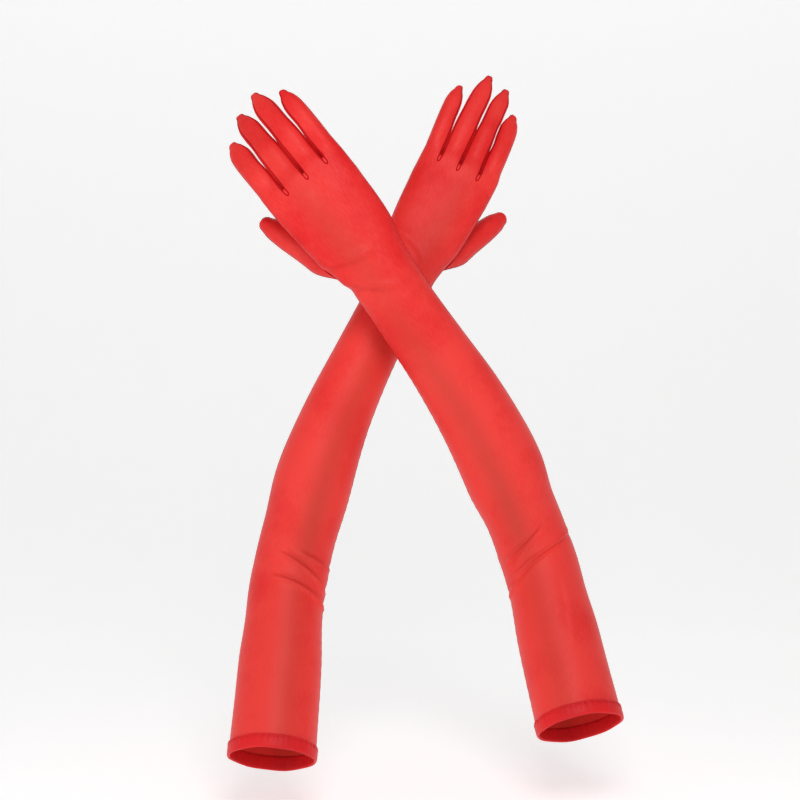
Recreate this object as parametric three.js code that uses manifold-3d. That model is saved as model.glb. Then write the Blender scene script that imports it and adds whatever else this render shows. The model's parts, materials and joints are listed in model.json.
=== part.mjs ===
// A pair of opera gloves in stretch satin, in the shape they take on two raised, crossed arms.
// Millimetres, +Z up. The origin is the centre of the left glove's arm opening, -Y is the side of the
// backs of the hands, and each glove runs from its hem band up over the elbow and wrist to the fingertips.
import * as THREE from "three";
import { LoftGeometry } from "three/addons/geometries/LoftGeometry.js";
import { mergeVertices } from "three/addons/utils/BufferGeometryUtils.js";
import Module from "manifold-3d";

// Cloth and sewing, the same in both gloves.
const WALL = 1.4; // one layer of cloth with its seams
const GAP = 0.4; // left open between two pieces that meet
const HEM_HEIGHT = 11;
const HEM_WALL = 2.4; // the cloth turned up and sewn down
const HEM_PROUD = 1; // how far the band stands out from the sleeve

// The sleeve: lengths along the arm, and half width and half depth of each section.
const UPPER_LENGTH = 158;
const FOREARM_LENGTH = 270;
const HEM_SECTION = [34.5, 33];
const UPPER_SECTION = [33.5, 32];
const ELBOW_SECTION = [31.5, 30.5];
const FOREARM_SECTION = [33.5, 30];
const MID_SECTION = [29.5, 25];
const WRIST_SECTION = [26, 18.5];
const FOREARM_BOW = 10; // how far the forearm swells to the little-finger side
const BOW = { lead: 0.9, fullness: 1.5 }; // where that swell is greatest, and how short it is
const UPPER_STATIONS = { middle: 0.5, elbow: 0.78 }; // shares of the upper length
const FOREARM_STATIONS = { elbow: 0.13, swell: 0.27, middle: 0.55, wrist: 0.92 }; // of the forearm

// The hand, from the wrist.
const THENAR = { height: 34, halfWidth: 33, halfDepth: 15.5 };
const MID_PALM = { halfWidth: 35, halfDepth: 14.2 };
const PALM = { height: 72, halfWidth: 36, halfDepth: 13.5 };
const KNUCKLES = { halfWidth: 36.5, halfDepth: 10.5, above: 10 };
const HAND_ROUNDING = 2.4; // 2 is an ellipse, and more is squarer
const LOWER_HAND = { share: 0.45, wider: 1.08, flatter: 0.93 }; // between wrist and thumb, of the wrist
const FINGER_HALF_DEPTH = 8;
const FINGER_SPACE = 2.4; // between two fingers at the root, filled by a fourchette
const TIP_START = 0.42; // share of a finger's length below its middle joint
const TIP_WALL = 1.6; // how much thicker the cloth is at a gathered tip
const KNUCKLE_PIVOT = 0.45; // share of a finger's half depth, to the palm side of its middle
const MIDDLE_PIVOT = 0.35;
const FINGERS = [
  { name: "little", root: 98, width: 14.5, length: 69 },
  { name: "ring", root: 103, width: 16.5, length: 84 },
  { name: "middle", root: 102, width: 17, length: 83 },
  { name: "index", root: 95, width: 16.5, length: 74 },
];
const FOURCHETTE = { thickness: 1.4, above: 11, below: 4, clearance: 0.35 };
const THUMB = { side: 25, depth: 13, height: 24, length: 78, halfWidth: 10, flatness: 0.92 };
const THUMB_CLEARANCE = 0.7; // round the thumb in its set-in hole

// Profiles of the stalls: share of the length, then shares of the half width and half depth.
const THUMB_PROFILE = [[0, 0.8], [0.14, 0.96], [0.4, 1], [0.66, 0.93], [0.84, 0.74], [0.94, 0.44]];
const STALL_PROFILE = [[0, 1, 1], [0.4, 1, 0.97], [0.62, 0.99, 0.95], [1, 0.98, 0.92]];
const TIP_PROFILE = [
  [0, 0.98, 0.92],
  [0.25, 0.96, 0.88],
  [0.55, 0.88, 0.78],
  [0.78, 0.7, 0.58],
  [0.92, 0.4, 0.36],
];

// How far each joint opens beyond the pose that the gloves are shown in, in degrees.
const KNUCKLE_RANGE = [-10, 70];
const THUMB_RANGE = [0, 32];
const BEVEL_MARGIN = 1.5; // further than the range, so that the ends never meet

// The two arms: lean to the thumb side and tilt away from the viewer, in degrees, and finger curls.
const LEFT = {
  name: "left",
  at: [0, 0, 0],
  upper: [3.2, 27.3],
  forearm: [21.3, 2.6],
  hand: [27.5, 3],
  thumb: [23, 22],
  spread: 0.95, // the worn width against the depth, at one girth
  fingers: { little: [-4.6, 3, 7], ring: [-2.6, 3, 8], middle: [-3.0, 5, 10], index: [-5.4, 6, 12] },
  elbow: { range: [-30, 2], pivot: -12 },
  wrist: { range: [-8, 60], pivot: 6 },
};
const RIGHT = {
  name: "right",
  at: [246.5, 15, 22],
  upper: [11.9, 27.7],
  forearm: [29.7, -14],
  hand: [39.3, -4],
  thumb: [17, 12],
  spread: 1.05,
  fingers: { little: [0, 3, 7], ring: [-0.4, 9, 20], middle: [-0.6, 12, 24], index: [-1.2, 13, 22] },
  elbow: { range: [-4, 55], pivot: 12 },
  wrist: { range: [-60, 8], pivot: -6 },
};

const SATIN = { color: 0xe2352f, roughness: 0.5, metalness: 0 };
const HEM_SATIN = { color: 0xcf262b, roughness: 0.55, metalness: 0 };

const BALL_FACETING = 0.6; // what a faceted ball loses against a round one
const AROUND_ARM = 28;
const AROUND_FINGER = 14;

const wasm = await Module();
wasm.setup();

// A direction that leans to +X and tilts to +Y, from straight up.
function direction([lean, tilt]) {
  const up = Math.cos(THREE.MathUtils.degToRad(tilt));
  const angle = THREE.MathUtils.degToRad(lean);
  return new THREE.Vector3(
    Math.sin(angle) * up,
    Math.sin(THREE.MathUtils.degToRad(tilt)),
    Math.cos(angle) * up,
  );
}

// Axes of one limb: z along it, y to the palm side and x to the thumb side.
class Frame {
  constructor(origin, z, towardPalm = new THREE.Vector3(0, 1, 0)) {
    this.origin = origin.clone();
    this.z = z.clone().normalize();
    this.x = new THREE.Vector3().crossVectors(towardPalm, this.z).normalize();
    this.y = new THREE.Vector3().crossVectors(this.z, this.x);
  }

  vector(x, y, z) {
    return new THREE.Vector3()
      .addScaledVector(this.x, x)
      .addScaledVector(this.y, y)
      .addScaledVector(this.z, z);
  }

  at(x, y, z) {
    return this.vector(x, y, z).add(this.origin);
  }

  // The same axes further along, turned about x by a curl and about y by a splay.
  turned(origin, splay, curl) {
    const lean = THREE.MathUtils.degToRad(splay);
    const bend = THREE.MathUtils.degToRad(curl);
    const z = this.vector(Math.sin(lean) * Math.cos(bend), Math.sin(bend), Math.cos(lean) * Math.cos(bend));
    return new Frame(origin, z, this.y);
  }
}

// A place where two tubes meet and turn. Their ends are bevelled away from the pivot line, so that the
// cloth on the closing side has room over the whole range.
class Bend {
  constructor({ name, at, before, after, axis, range, pivot }) {
    this.name = name;
    this.at = at;
    this.normal = before.clone().add(after).normalize();
    this.axis = axis.clone().normalize();
    this.inner = new THREE.Vector3().crossVectors(this.axis, this.normal).normalize();
    this.range = range;
    this.pivotOffset = pivot;
    this.pivot = at.clone().addScaledVector(this.inner, pivot);
    const half = (degrees) => Math.tan(THREE.MathUtils.degToRad(degrees / 2 + BEVEL_MARGIN));
    this.innerSlope = half(Math.max(range[1], 0));
    this.outerSlope = half(Math.max(-range[0], 0));
  }

  // Where a line along a tube meets the bevelled end: side 1 is the piece beyond the bend.
  meet(point, along, side) {
    const offset = point.clone().sub(this.at);
    const height = offset.dot(this.normal);
    const reach = offset.dot(this.inner) - this.pivotOffset;
    const rise = along.dot(this.normal);
    const drift = along.dot(this.inner);
    const travel = (slope) => (side * (GAP / 2 + reach * slope) - height) / (rise - side * drift * slope);
    const inner = travel(this.innerSlope);
    const onInnerSide = reach + inner * drift >= 0;
    return point.clone().addScaledVector(along, onInnerSide ? inner : travel(-this.outerSlope));
  }
}

function positionsOnly(geometry) {
  const position = geometry.getAttribute("position").clone();
  const plain = new THREE.BufferGeometry().setAttribute("position", position);
  return geometry.index ? plain.setIndex(geometry.index.clone()) : plain;
}

// A closed mesh from rings of points. Rings may shrink to a point, and faces are turned outward.
function shellGeometry(rings) {
  const loft = new LoftGeometry(rings, { closed: true });
  const merged = mergeVertices(positionsOnly(loft), 1e-3);
  const faces = [];
  for (let i = 0; i < merged.index.count; i += 3) {
    const [a, b, c] = [0, 1, 2].map((k) => merged.index.getX(i + k));
    if (a !== b && b !== c && c !== a) faces.push(a, b, c);
  }
  const corner = (i) => new THREE.Vector3().fromBufferAttribute(merged.attributes.position, faces[i]);
  let volume = 0;
  for (let i = 0; i < faces.length; i += 3) volume += corner(i).dot(corner(i + 1).cross(corner(i + 2)));
  if (volume < 0) faces.reverse();
  merged.setIndex(faces);
  merged.computeVertexNormals();
  return merged;
}

// Closed rings round a limb, from sections { z, halfWidth, halfDepth, shiftX, shiftY }.
function limbRings(frame, sections, inset, around, { start, end }) {
  return sections.map((section, index) => {
    const ring = [];
    for (let i = 0; i < around; i++) {
      const angle = (i / around) * Math.PI * 2;
      const x = (section.shiftX ?? 0) + (section.halfWidth - inset) * Math.cos(angle);
      const y = (section.shiftY ?? 0) + (section.halfDepth - inset) * Math.sin(angle);
      let point = frame.at(x, y, section.z);
      if (index === 0 && start) point = start.meet(point, frame.z, 1);
      if (index === sections.length - 1 && end) point = end.meet(point, frame.z, -1);
      ring.push(point);
    }
    return ring;
  });
}

// An open tube of cloth between two ends.
function tubeGeometry(frame, sections, ends, { wall = WALL, around = AROUND_ARM } = {}) {
  const outer = limbRings(frame, sections, 0, around, ends);
  const inner = limbRings(frame, sections, wall, around, ends).reverse();
  return shellGeometry([...outer, ...inner, outer[0]]);
}

// The rings of a stall that is open at its root and closed to a point at its tip.
function stallRings(frame, sections, length, inset, ends) {
  const rings = limbRings(frame, sections, inset, AROUND_FINGER, ends);
  const tip = frame.at(0, 0, length - inset * TIP_WALL);
  rings.push(new Array(AROUND_FINGER).fill(tip));
  return rings;
}

function stallGeometry(frame, sections, length, ends) {
  const outer = stallRings(frame, sections, length, 0, ends);
  const inner = stallRings(frame, sections, length, WALL, ends).reverse();
  return shellGeometry([...inner, ...outer]);
}

// Sections between the given stations, following a smooth curve through them.
function smoothSections(stations, pieces) {
  const curve = new THREE.CatmullRomCurve3(
    stations.map(([z, [halfWidth, halfDepth]]) => new THREE.Vector3(z, halfWidth, halfDepth)),
    false,
    "centripetal",
  );
  return curve.getPoints(pieces).map((p) => ({ z: p.x, halfWidth: p.y, halfDepth: p.z }));
}

// The forearm swells to one side between the elbow and the wrist, most a little below its middle.
function bowed(sections) {
  return sections.map((section) => {
    const share = section.z / FOREARM_LENGTH;
    const swell = Math.sin(Math.PI * THREE.MathUtils.clamp(share, 0, 1) ** BOW.lead) ** BOW.fullness;
    return { ...section, shiftX: -FOREARM_BOW * swell };
  });
}

function worn([halfWidth, halfDepth], spread) {
  return [halfWidth * spread, halfDepth / spread];
}

// One half of the hand, back or palm, from the wrist to the four finger roots.
function handPanelRings(frame, sections, side, { wrist, columns }) {
  const rings = sections.map((section, index) => {
    const edge = (column, inset) => {
      const halfWidth = section.halfWidth - inset;
      const x = column.share * halfWidth;
      const rounding = Math.max(1 - Math.abs(column.share) ** HAND_ROUNDING, 0) ** (1 / HAND_ROUNDING);
      const y = side * Math.max(GAP / 2, (section.halfDepth - inset) * rounding);
      let point = frame.at(x, y, section.z);
      if (index === 0) point = wrist.meet(point, frame.z, 1);
      if (index === sections.length - 1) point = column.knuckle.meet(point, frame.z, -1);
      return point;
    };
    const outer = columns.map((column) => edge(column, 0));
    const inner = columns.map((column) => edge(column, WALL)).reverse();
    return [...outer, ...inner];
  });
  // The end rings fold onto the middle of the wall, which closes the panel's two ends.
  const folded = (ring) => ring.map((point, i) => point.clone().lerp(ring[ring.length - 1 - i], 0.5));
  return [folded(rings[0]), ...rings, folded(rings.at(-1))];
}

function solidFrom(geometry) {
  const merged = mergeVertices(positionsOnly(geometry), 1e-3);
  return new wasm.Manifold(
    new wasm.Mesh({
      numProp: 3,
      vertProperties: new Float32Array(merged.attributes.position.array),
      triVerts: new Uint32Array(merged.index.array),
    }),
  );
}

function geometryFrom(solid) {
  const mesh = solid.getMesh();
  const geometry = new THREE.BufferGeometry();
  geometry.setAttribute("position", new THREE.BufferAttribute(new Float32Array(mesh.vertProperties), 3));
  geometry.setIndex(new THREE.BufferAttribute(new Uint32Array(mesh.triVerts), 1));
  geometry.computeVertexNormals();
  return geometry;
}

// The strip between two finger roots, standing in the space between them.
function fourchetteGeometry(thickness) {
  const halfDepth = FINGER_HALF_DEPTH - WALL;
  const shape = new THREE.Shape();
  shape.moveTo(-halfDepth, -FOURCHETTE.below);
  shape.lineTo(halfDepth * 0.4, -FOURCHETTE.below);
  shape.lineTo(halfDepth, FOURCHETTE.above * 0.35);
  shape.quadraticCurveTo(halfDepth * 0.75, FOURCHETTE.above * 0.9, 0, FOURCHETTE.above);
  shape.quadraticCurveTo(-halfDepth * 0.75, FOURCHETTE.above * 0.9, -halfDepth, FOURCHETTE.above * 0.35);
  shape.closePath();
  const options = { depth: thickness, bevelEnabled: false, curveSegments: 4 };
  const geometry = new THREE.ExtrudeGeometry(shape, options);
  geometry.translate(0, 0, -thickness / 2);
  return geometry;
}

class Glove {
  constructor(pose) {
    this.pose = pose;
    this.group = new THREE.Group();
    this.group.name = pose.name + "_glove";
    this.joints = [];
    this.placeSkeleton();
    this.addSleeves();
    this.placeFingers();
    this.addHand();
    this.addFingers();
    this.addFourchettes();
    this.group.position.set(...pose.at);
    this.group.userData.joints = this.joints;
  }

  add(piece, geometry, finish = SATIN) {
    const mesh = new THREE.Mesh(geometry, new THREE.MeshStandardMaterial(finish));
    mesh.name = this.pose.name + "_" + piece;
    this.group.add(mesh);
    return mesh;
  }

  bend(options) {
    const bend = new Bend(options);
    this.joints.push({ name: bend.name, pivot: bend.pivot, axis: bend.axis, range: bend.range });
    return bend;
  }

  placeSkeleton() {
    const { upper, forearm, hand, elbow, wrist } = this.pose;
    this.upper = new Frame(new THREE.Vector3(), direction(upper));
    const elbowAt = this.upper.at(0, 0, UPPER_LENGTH);
    this.forearm = new Frame(elbowAt, direction(forearm));
    const wristAt = this.forearm.at(0, 0, FOREARM_LENGTH);
    this.hand = new Frame(wristAt, direction(hand));
    this.elbow = this.bend({
      name: "elbow",
      at: elbowAt,
      before: this.upper.z,
      after: this.forearm.z,
      axis: new THREE.Vector3().crossVectors(this.upper.z, this.forearm.z),
      ...elbow,
    });
    this.wrist = this.bend({
      name: "wrist",
      at: wristAt,
      before: this.forearm.z,
      after: this.hand.z,
      axis: this.hand.x.clone().negate(),
      ...wrist,
    });
  }

  addSleeves() {
    const { spread } = this.pose;
    const [hemWidth, hemDepth] = HEM_SECTION.map((half) => half + HEM_PROUD);
    const hem = [0, HEM_HEIGHT].map((z) => ({ z, halfWidth: hemWidth, halfDepth: hemDepth }));
    this.add("hem_band", tubeGeometry(this.upper, hem, {}, { wall: HEM_WALL }), HEM_SATIN);
    const upper = smoothSections(
      [
        [HEM_HEIGHT + GAP, HEM_SECTION],
        [UPPER_LENGTH * UPPER_STATIONS.middle, UPPER_SECTION],
        [UPPER_LENGTH * UPPER_STATIONS.elbow, ELBOW_SECTION],
      ],
      4,
    );
    upper.push({ z: UPPER_LENGTH, halfWidth: ELBOW_SECTION[0], halfDepth: ELBOW_SECTION[1] });
    this.add("upper_sleeve", tubeGeometry(this.upper, upper, { end: this.elbow }));
    const forearm = smoothSections(
      [
        [FOREARM_LENGTH * FOREARM_STATIONS.elbow, ELBOW_SECTION],
        [FOREARM_LENGTH * FOREARM_STATIONS.swell, worn(FOREARM_SECTION, (1 + spread) / 2)],
        [FOREARM_LENGTH * FOREARM_STATIONS.middle, worn(MID_SECTION, spread)],
        [FOREARM_LENGTH * FOREARM_STATIONS.wrist, worn(WRIST_SECTION, spread)],
      ],
      6,
    );
    const wristSection = worn(WRIST_SECTION, spread);
    forearm.unshift({ z: 0, halfWidth: ELBOW_SECTION[0], halfDepth: ELBOW_SECTION[1] });
    forearm.push({ z: FOREARM_LENGTH, halfWidth: wristSection[0], halfDepth: wristSection[1] });
    const ends = { start: this.elbow, end: this.wrist };
    this.add("forearm_sleeve", tubeGeometry(this.forearm, bowed(forearm), ends));
  }

  placeFingers() {
    const { spread, fingers } = this.pose;
    const total = FINGERS.reduce((sum, finger) => sum + finger.width, FINGER_SPACE * (FINGERS.length - 1));
    let edge = -total / 2;
    this.fingers = FINGERS.map((finger) => {
      const centre = (edge + finger.width / 2) * spread;
      edge += finger.width + FINGER_SPACE;
      const [splay, curl, tipCurl] = fingers[finger.name];
      const frame = this.hand.turned(this.hand.at(centre, 0, finger.root), splay, curl);
      const knuckle = this.bend({
        name: finger.name + "_knuckle",
        at: frame.origin,
        before: this.hand.z,
        after: frame.z,
        axis: frame.x.clone().negate(),
        range: KNUCKLE_RANGE,
        pivot: FINGER_HALF_DEPTH * KNUCKLE_PIVOT,
      });
      const middleAt = frame.at(0, 0, finger.length * TIP_START);
      const tipFrame = this.hand.turned(middleAt, splay, curl + tipCurl);
      const middle = this.bend({
        name: finger.name + "_middle_joint",
        at: middleAt,
        before: frame.z,
        after: tipFrame.z,
        axis: frame.x.clone().negate(),
        range: KNUCKLE_RANGE,
        pivot: FINGER_HALF_DEPTH * MIDDLE_PIVOT,
      });
      const space = (FINGER_SPACE / 2) * spread;
      const half = (finger.width / 2) * spread;
      return { ...finger, splay, centre, half, space, frame, knuckle, tipFrame, middle };
    });
  }

  // Columns of the hand's panels: the edges of each finger root, so that no step crosses a root.
  panelColumns(halfWidth) {
    const columns = [];
    this.fingers.forEach((finger, index) => {
      const first = index === 0;
      const last = index === this.fingers.length - 1;
      const low = first ? -halfWidth : finger.centre - finger.half - finger.space * 0.4;
      const high = last ? halfWidth : finger.centre + finger.half + finger.space * 0.4;
      const stops = [0, 0.33, 0.67, 1];
      if (first) stops.splice(1, 0, 0.03, 0.12);
      if (last) stops.splice(3, 0, 0.88, 0.97);
      for (const stop of stops) {
        columns.push({ share: THREE.MathUtils.lerp(low, high, stop) / halfWidth, knuckle: finger.knuckle });
      }
    });
    return columns;
  }

  addHand() {
    const { spread, thumb } = this.pose;
    const knuckleHalfWidth = KNUCKLES.halfWidth * spread;
    const wide = (part) => ({ z: part.height, halfWidth: part.halfWidth * spread, halfDepth: part.halfDepth });
    const wristSection = worn(WRIST_SECTION, spread);
    const sections = [
      { z: 0, halfWidth: wristSection[0], halfDepth: wristSection[1] },
      {
        z: THENAR.height * LOWER_HAND.share,
        halfWidth: wristSection[0] * LOWER_HAND.wider,
        halfDepth: wristSection[1] * LOWER_HAND.flatter,
      },
      wide(THENAR),
      wide({ height: (THENAR.height + PALM.height) / 2, ...MID_PALM }),
      wide(PALM),
      {
        z: PALM.height + KNUCKLES.above,
        halfWidth: knuckleHalfWidth,
        halfDepth: (PALM.halfDepth + KNUCKLES.halfDepth) / 2,
      },
      { z: PALM.height + KNUCKLES.above * 2, halfWidth: knuckleHalfWidth, halfDepth: KNUCKLES.halfDepth },
    ];
    const options = { wrist: this.wrist, columns: this.panelColumns(knuckleHalfWidth) };
    const thumbAt = this.hand.at(THUMB.side * spread, THUMB.depth, THUMB.height);
    this.thumbFrame = this.hand.turned(thumbAt, ...thumb);
    this.joints.push({
      name: "thumb",
      pivot: this.thumbFrame.origin,
      axis: this.thumbFrame.y.clone(),
      range: THUMB_RANGE,
    });
    const room = this.thumbRoom();
    for (const [name, side] of [["back_panel", -1], ["palm_panel", 1]]) {
      const panel = solidFrom(shellGeometry(handPanelRings(this.hand, sections, side, options)));
      this.add(name, geometryFrom(panel.subtract(room)));
    }
    this.add("thumb", this.thumbGeometry());
  }

  thumbSections(extra) {
    const { length, halfWidth, flatness } = THUMB;
    return THUMB_PROFILE.map(([height, share]) => ({
      z: length * height,
      halfWidth: halfWidth * share + extra,
      halfDepth: halfWidth * share * flatness + extra,
    }));
  }

  thumbGeometry() {
    return stallGeometry(this.thumbFrame, this.thumbSections(0), THUMB.length, {});
  }

  // The space that the thumb takes over its whole range, cut out of the hand as its set-in hole.
  thumbRoom() {
    const clearance = THUMB_CLEARANCE;
    const sections = this.thumbSections(clearance);
    const rings = stallRings(this.thumbFrame, sections, THUMB.length + clearance * 2, 0, {});
    const base = new Array(AROUND_FINGER).fill(this.thumbFrame.at(0, 0, -clearance));
    const foot = [{ ...sections[0], z: -clearance }];
    const thumb = shellGeometry([base, ...limbRings(this.thumbFrame, foot, 0, AROUND_FINGER, {}), ...rings]);
    const ball = new THREE.IcosahedronGeometry(sections[0].halfWidth + BALL_FACETING, 2);
    ball.translate(...this.thumbFrame.origin);
    let room = solidFrom(ball);
    const steps = 6;
    for (let i = 0; i <= steps; i++) {
      const angle = THREE.MathUtils.degToRad(THREE.MathUtils.lerp(...THUMB_RANGE, i / steps));
      const turn = new THREE.Matrix4()
        .makeTranslation(...this.thumbFrame.origin)
        .multiply(new THREE.Matrix4().makeRotationAxis(this.thumbFrame.y, angle))
        .multiply(new THREE.Matrix4().makeTranslation(...this.thumbFrame.origin.clone().negate()));
      room = room.add(solidFrom(thumb.clone().applyMatrix4(turn)));
    }
    return room;
  }

  addFingers() {
    for (const finger of this.fingers) {
      const { name, half, length, frame, knuckle, tipFrame, middle } = finger;
      const rootLength = length * TIP_START;
      const tipLength = length - rootLength;
      const sections = (profile, reach) =>
        profile.map(([height, wide, deep]) => ({
          z: reach * height,
          halfWidth: half * wide,
          halfDepth: FINGER_HALF_DEPTH * deep,
        }));
      const ends = { start: knuckle, end: middle };
      const stall = sections(STALL_PROFILE, rootLength);
      const tip = sections(TIP_PROFILE, tipLength);
      this.add(name + "_stall", tubeGeometry(frame, stall, ends, { around: AROUND_FINGER }));
      this.add(name + "_tip", stallGeometry(tipFrame, tip, tipLength, { start: middle }));
    }
  }

  addFourchettes() {
    for (let i = 1; i < this.fingers.length; i++) {
      const [before, after] = [this.fingers[i - 1], this.fingers[i]];
      const foot = Math.max(before.root, after.root);
      const sideAt = (finger, side, above) => {
        const lean = Math.tan(THREE.MathUtils.degToRad(finger.splay));
        return finger.centre + side * finger.half + (foot + above - finger.root) * lean;
      };
      const spaceAt = (above) => sideAt(after, -1, above) - sideAt(before, 1, above);
      const middleAt = (above) => (sideAt(after, -1, above) + sideAt(before, 1, above)) / 2;
      const space = Math.min(spaceAt(-FOURCHETTE.below), spaceAt(FOURCHETTE.above));
      const room = space - 2 * FOURCHETTE.clearance;
      const splay = (before.splay + after.splay) / 2;
      const frame = this.hand.turned(this.hand.at(middleAt(0), 0, foot), splay, 0);
      const geometry = fourchetteGeometry(Math.min(room, FOURCHETTE.thickness));
      const standing = new THREE.Matrix4().makeBasis(frame.y, frame.z, frame.x);
      geometry.applyMatrix4(standing.setPosition(frame.origin));
      this.add("fourchette_" + before.name + "_" + after.name, geometry);
    }
  }
}

const pair = new THREE.Group();
pair.name = "opera_gloves";
const left = new Glove(LEFT);
const right = new Glove(RIGHT);
right.group.scale.x = -1;
pair.add(left.group, right.group);

export default pair;
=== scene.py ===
"""The finished look of a pair of long satin opera gloves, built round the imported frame.

Each glove is one knitted surface: sleeve, hand, four finger stalls and a set-in thumb. It is made whole, so
that the cloth runs smoothly over every border, and is then parted where the joints need it. Sizes are in
millimetres along and across the arm, and meshes are in metres in the row frame.
"""

import json
import logging
import math
from dataclasses import dataclass, field
from enum import Enum
from typing import Any, Sequence

import bpy
import numpy as np
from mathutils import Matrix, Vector
from mathutils.bvhtree import BVHTree

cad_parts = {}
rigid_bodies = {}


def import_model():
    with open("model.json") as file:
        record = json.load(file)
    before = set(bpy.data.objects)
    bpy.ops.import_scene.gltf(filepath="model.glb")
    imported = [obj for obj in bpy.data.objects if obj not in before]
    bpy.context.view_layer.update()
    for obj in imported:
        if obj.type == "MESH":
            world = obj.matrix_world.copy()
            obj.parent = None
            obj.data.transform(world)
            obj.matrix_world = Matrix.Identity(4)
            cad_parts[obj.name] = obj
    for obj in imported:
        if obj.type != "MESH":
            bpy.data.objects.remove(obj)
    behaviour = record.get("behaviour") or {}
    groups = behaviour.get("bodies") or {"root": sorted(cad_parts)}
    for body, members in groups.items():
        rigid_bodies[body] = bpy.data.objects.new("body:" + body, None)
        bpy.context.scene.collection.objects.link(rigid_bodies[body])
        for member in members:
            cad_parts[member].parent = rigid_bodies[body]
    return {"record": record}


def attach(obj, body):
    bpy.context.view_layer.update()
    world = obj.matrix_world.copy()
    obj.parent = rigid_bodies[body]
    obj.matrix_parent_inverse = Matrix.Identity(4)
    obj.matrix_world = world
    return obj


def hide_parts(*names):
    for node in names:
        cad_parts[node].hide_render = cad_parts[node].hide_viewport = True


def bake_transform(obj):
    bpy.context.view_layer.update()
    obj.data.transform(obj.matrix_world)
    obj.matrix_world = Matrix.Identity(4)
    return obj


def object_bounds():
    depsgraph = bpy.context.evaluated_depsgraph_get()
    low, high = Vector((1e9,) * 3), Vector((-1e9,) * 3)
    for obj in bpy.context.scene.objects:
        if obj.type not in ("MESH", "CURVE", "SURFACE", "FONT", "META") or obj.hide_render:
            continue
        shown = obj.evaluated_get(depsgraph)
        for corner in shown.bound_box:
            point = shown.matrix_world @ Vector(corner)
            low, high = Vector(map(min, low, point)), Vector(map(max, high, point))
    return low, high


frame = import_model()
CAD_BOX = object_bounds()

LOG = logging.getLogger("opera_gloves")
MM = 0.001


class Side(Enum):
    """The arm that a glove is worn on."""

    LEFT = "left"
    RIGHT = "right"


class Face(Enum):
    """The two faces of a glove."""

    BACK = -1
    PALM = 1


class Finish(Enum):
    """The two finishes that a piece has: its cloth, and the thread that sews it."""

    CLOTH = 0
    THREAD = 1


def smoothstep(value: np.ndarray) -> np.ndarray:
    """Ease from 0 to 1, clamped at both ends."""
    value = np.clip(value, 0.0, 1.0)
    return value * value * (3.0 - 2.0 * value)


def eased(at: np.ndarray, stations: Sequence[float], values: Sequence[float]) -> np.ndarray:
    """Follow a smooth curve through measured stations without overshooting them.

    Args:
        at: Where to read the curve.
        stations: Increasing places where the value is known.
        values: The values there.

    Returns:
        The curve's values, held level beyond both ends.
    """
    x, y = np.asarray(stations, float), np.asarray(values, float)
    at = np.clip(np.asarray(at, float), x[0], x[-1])
    step, rise = np.diff(x), np.diff(y) / np.diff(x)
    slope = np.concatenate([[rise[0]], np.zeros(len(x) - 2), [rise[-1]]])
    same = rise[:-1] * rise[1:] > 0
    mean = 2 * rise[:-1] * rise[1:] / np.where(same, rise[:-1] + rise[1:], 1.0)
    slope[1:-1] = np.where(same, mean, 0.0)
    i = np.clip(np.searchsorted(x, at, side="right") - 1, 0, len(step) - 1)
    t = (at - x[i]) / step[i]
    left = y[i] * (1 + 2 * t) * (1 - t) ** 2 + step[i] * slope[i] * t * (1 - t) ** 2
    right = y[i + 1] * t**2 * (3 - 2 * t) - step[i] * slope[i + 1] * t**2 * (1 - t)
    return left + right


def read_rows(at: np.ndarray, stations: np.ndarray, table: np.ndarray) -> np.ndarray:
    """Read a table of points between its rows.

    Args:
        at: Where to read it.
        stations: The increasing place of each row.
        table: One point in each row.

    Returns:
        One point for each place.
    """
    return np.stack([np.interp(at, stations, table[:, k]) for k in range(3)], 1)


def lengths_along(line: np.ndarray) -> np.ndarray:
    """The distance of each point of a line from its start."""
    return np.concatenate([[0.0], np.cumsum(np.linalg.norm(np.diff(line, axis=0), axis=1))])


def lean(thumbward: float, palmward: float) -> np.ndarray:
    """A direction that leans to the thumb side and tilts to the palm side, in degrees from straight up."""
    a, b = math.radians(thumbward), math.radians(palmward)
    return np.array([math.sin(a) * math.cos(b), math.sin(b), math.cos(a) * math.cos(b)])


def unit(vectors: np.ndarray) -> np.ndarray:
    """The same vectors with length one."""
    return vectors / np.maximum(np.linalg.norm(vectors, axis=-1, keepdims=True), 1e-12)


@dataclass(frozen=True)
class Axes:
    """Axes of one limb: x to the thumb side, y to the palm side and z along it."""

    origin: np.ndarray
    along: np.ndarray
    palm: np.ndarray = field(default_factory=lambda: np.array([0.0, 1.0, 0.0]))

    @property
    def basis(self) -> np.ndarray:
        """The three axes.

        Returns:
            Rows x, y and z, each of length one.
        """
        z = unit(self.along)
        x = unit(np.cross(self.palm, z))
        return np.array([x, np.cross(z, x), z])

    def at(self, x: float, y: float, z: float) -> np.ndarray:
        """The place of a point given along the three axes."""
        return self.origin + np.array([x, y, z]) @ self.basis

    def turned(self, origin: np.ndarray, splay: float, curl: float) -> "Axes":
        """Axes further along, turned sideways by splay and to the palm by curl, in degrees."""
        return Axes(origin, lean(splay, curl) @ self.basis, self.basis[1])


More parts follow.
